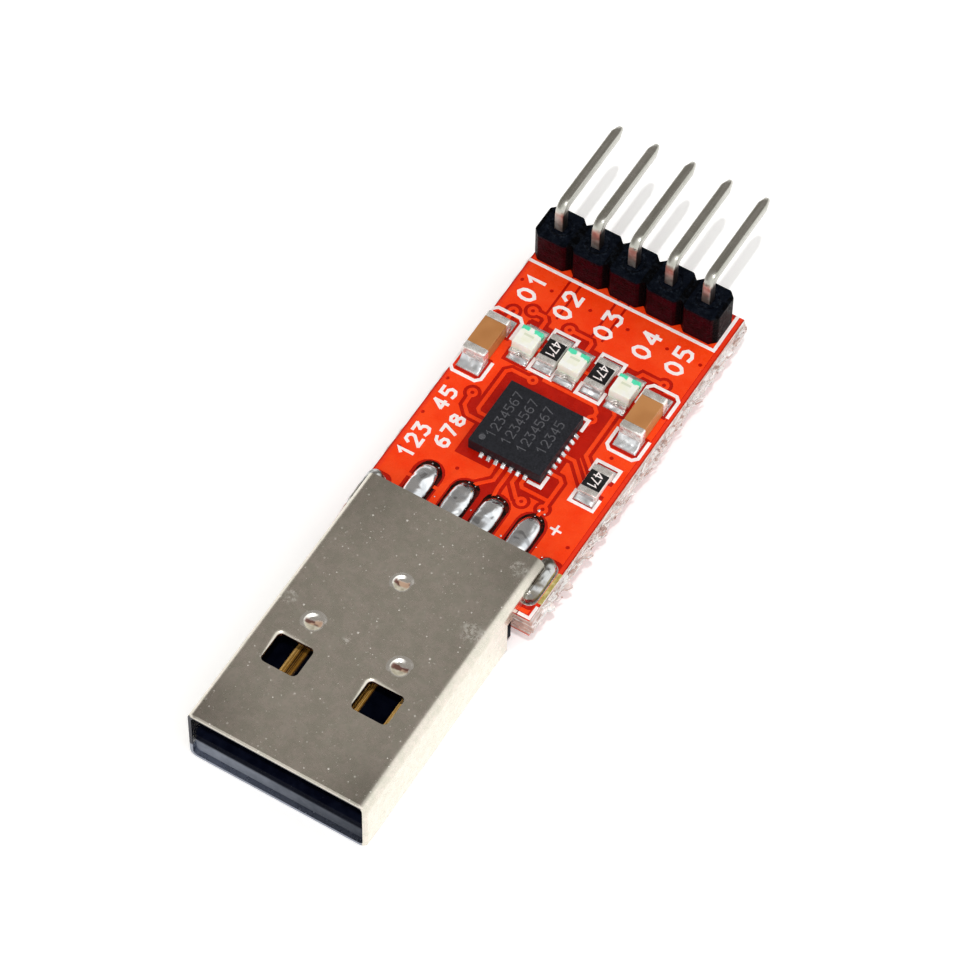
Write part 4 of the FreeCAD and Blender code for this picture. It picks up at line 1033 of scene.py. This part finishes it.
# The floor lies just under the part, so that no face shares a plane with it
FLOOR_HALF, FLOOR_Z = 3.0, -0.02 * MM
floor_mesh = bpy.data.meshes.new("floor")
corners = [(x * FLOOR_HALF, y * FLOOR_HALF, FLOOR_Z) for x, y in ((-1, -1), (1, -1), (1, 1), (-1, 1))]
floor_mesh.from_pydata(corners, [], [(0, 1, 2, 3)])
floor = bpy.data.objects.new("floor", floor_mesh)
floor_mesh.materials.append(white_floor())
bpy.context.scene.collection.objects.link(floor)


# Light: a room that is bright to the right and front and dim to the left and back, pale along the
# horizon, and one small high lamp
BRIGHT_SIDE = (0.92, -0.39, 0.0)


def room_light():
    world = bpy.data.worlds.new("room")
    bpy.context.scene.world = world
    world.use_nodes = True
    tree = world.node_tree
    tree.nodes.clear()

    def node(kind, **settings):
        made = tree.nodes.new(kind)
        for key, value in settings.items():
            setattr(made, key, value)
        return made

    def step(value, low, high):
        made = node("ShaderNodeMapRange", interpolation_type="SMOOTHSTEP")
        made.inputs["From Min"].default_value = min(low, high)
        made.inputs["From Max"].default_value = max(low, high)
        made.inputs["To Min"].default_value = 0.0 if low < high else 1.0
        made.inputs["To Max"].default_value = 1.0 if low < high else 0.0
        tree.links.new(value, made.inputs["Value"])
        return made.outputs["Result"]

    coordinates = node("ShaderNodeTexCoord")
    facing = node("ShaderNodeVectorMath", operation="DOT_PRODUCT")
    tree.links.new(coordinates.outputs["Generated"], facing.inputs[0])
    facing.inputs[1].default_value = BRIGHT_SIDE
    axes = node("ShaderNodeSeparateXYZ")
    tree.links.new(coordinates.outputs["Generated"], axes.inputs[0])
    share = node("ShaderNodeMath", operation="MAXIMUM")
    tree.links.new(step(facing.outputs["Value"], -0.16, 0.24), share.inputs[0])
    tree.links.new(step(axes.outputs["Z"], 0.28, 0.10), share.inputs[1])
    tone = node("ShaderNodeMix", data_type="RGBA")
    tree.links.new(share.outputs[0], tone.inputs["Factor"])
    tone.inputs["A"].default_value = (0.285, 0.265, 0.245, 1)
    tone.inputs["B"].default_value = (1.15, 1.15, 1.13, 1)
    room = node("ShaderNodeBackground")
    tree.links.new(tone.outputs["Result"], room.inputs["Color"])
    tree.links.new(room.outputs[0], node("ShaderNodeOutputWorld").inputs["Surface"])


def sun(name, azimuth, elevation, strength, angle):
    """Lamp far away in the direction that a camera at this azimuth and elevation would stand."""
    a, e = math.radians(azimuth), math.radians(elevation)
    towards = Vector((math.sin(a) * math.cos(e), -math.cos(a) * math.cos(e), math.sin(e)))
    data = bpy.data.lights.new(name, "SUN")
    data.energy = strength
    data.angle = math.radians(angle)
    lamp = bpy.data.objects.new(name, data)
    bpy.context.scene.collection.objects.link(lamp)
    lamp.rotation_mode = "QUATERNION"
    lamp.rotation_quaternion = towards.to_track_quat("Z", "Y")


room_light()
sun("key", 30.7, 69.6, 0.95, 1.4)

bpy.context.scene.view_settings.view_transform = "Standard"
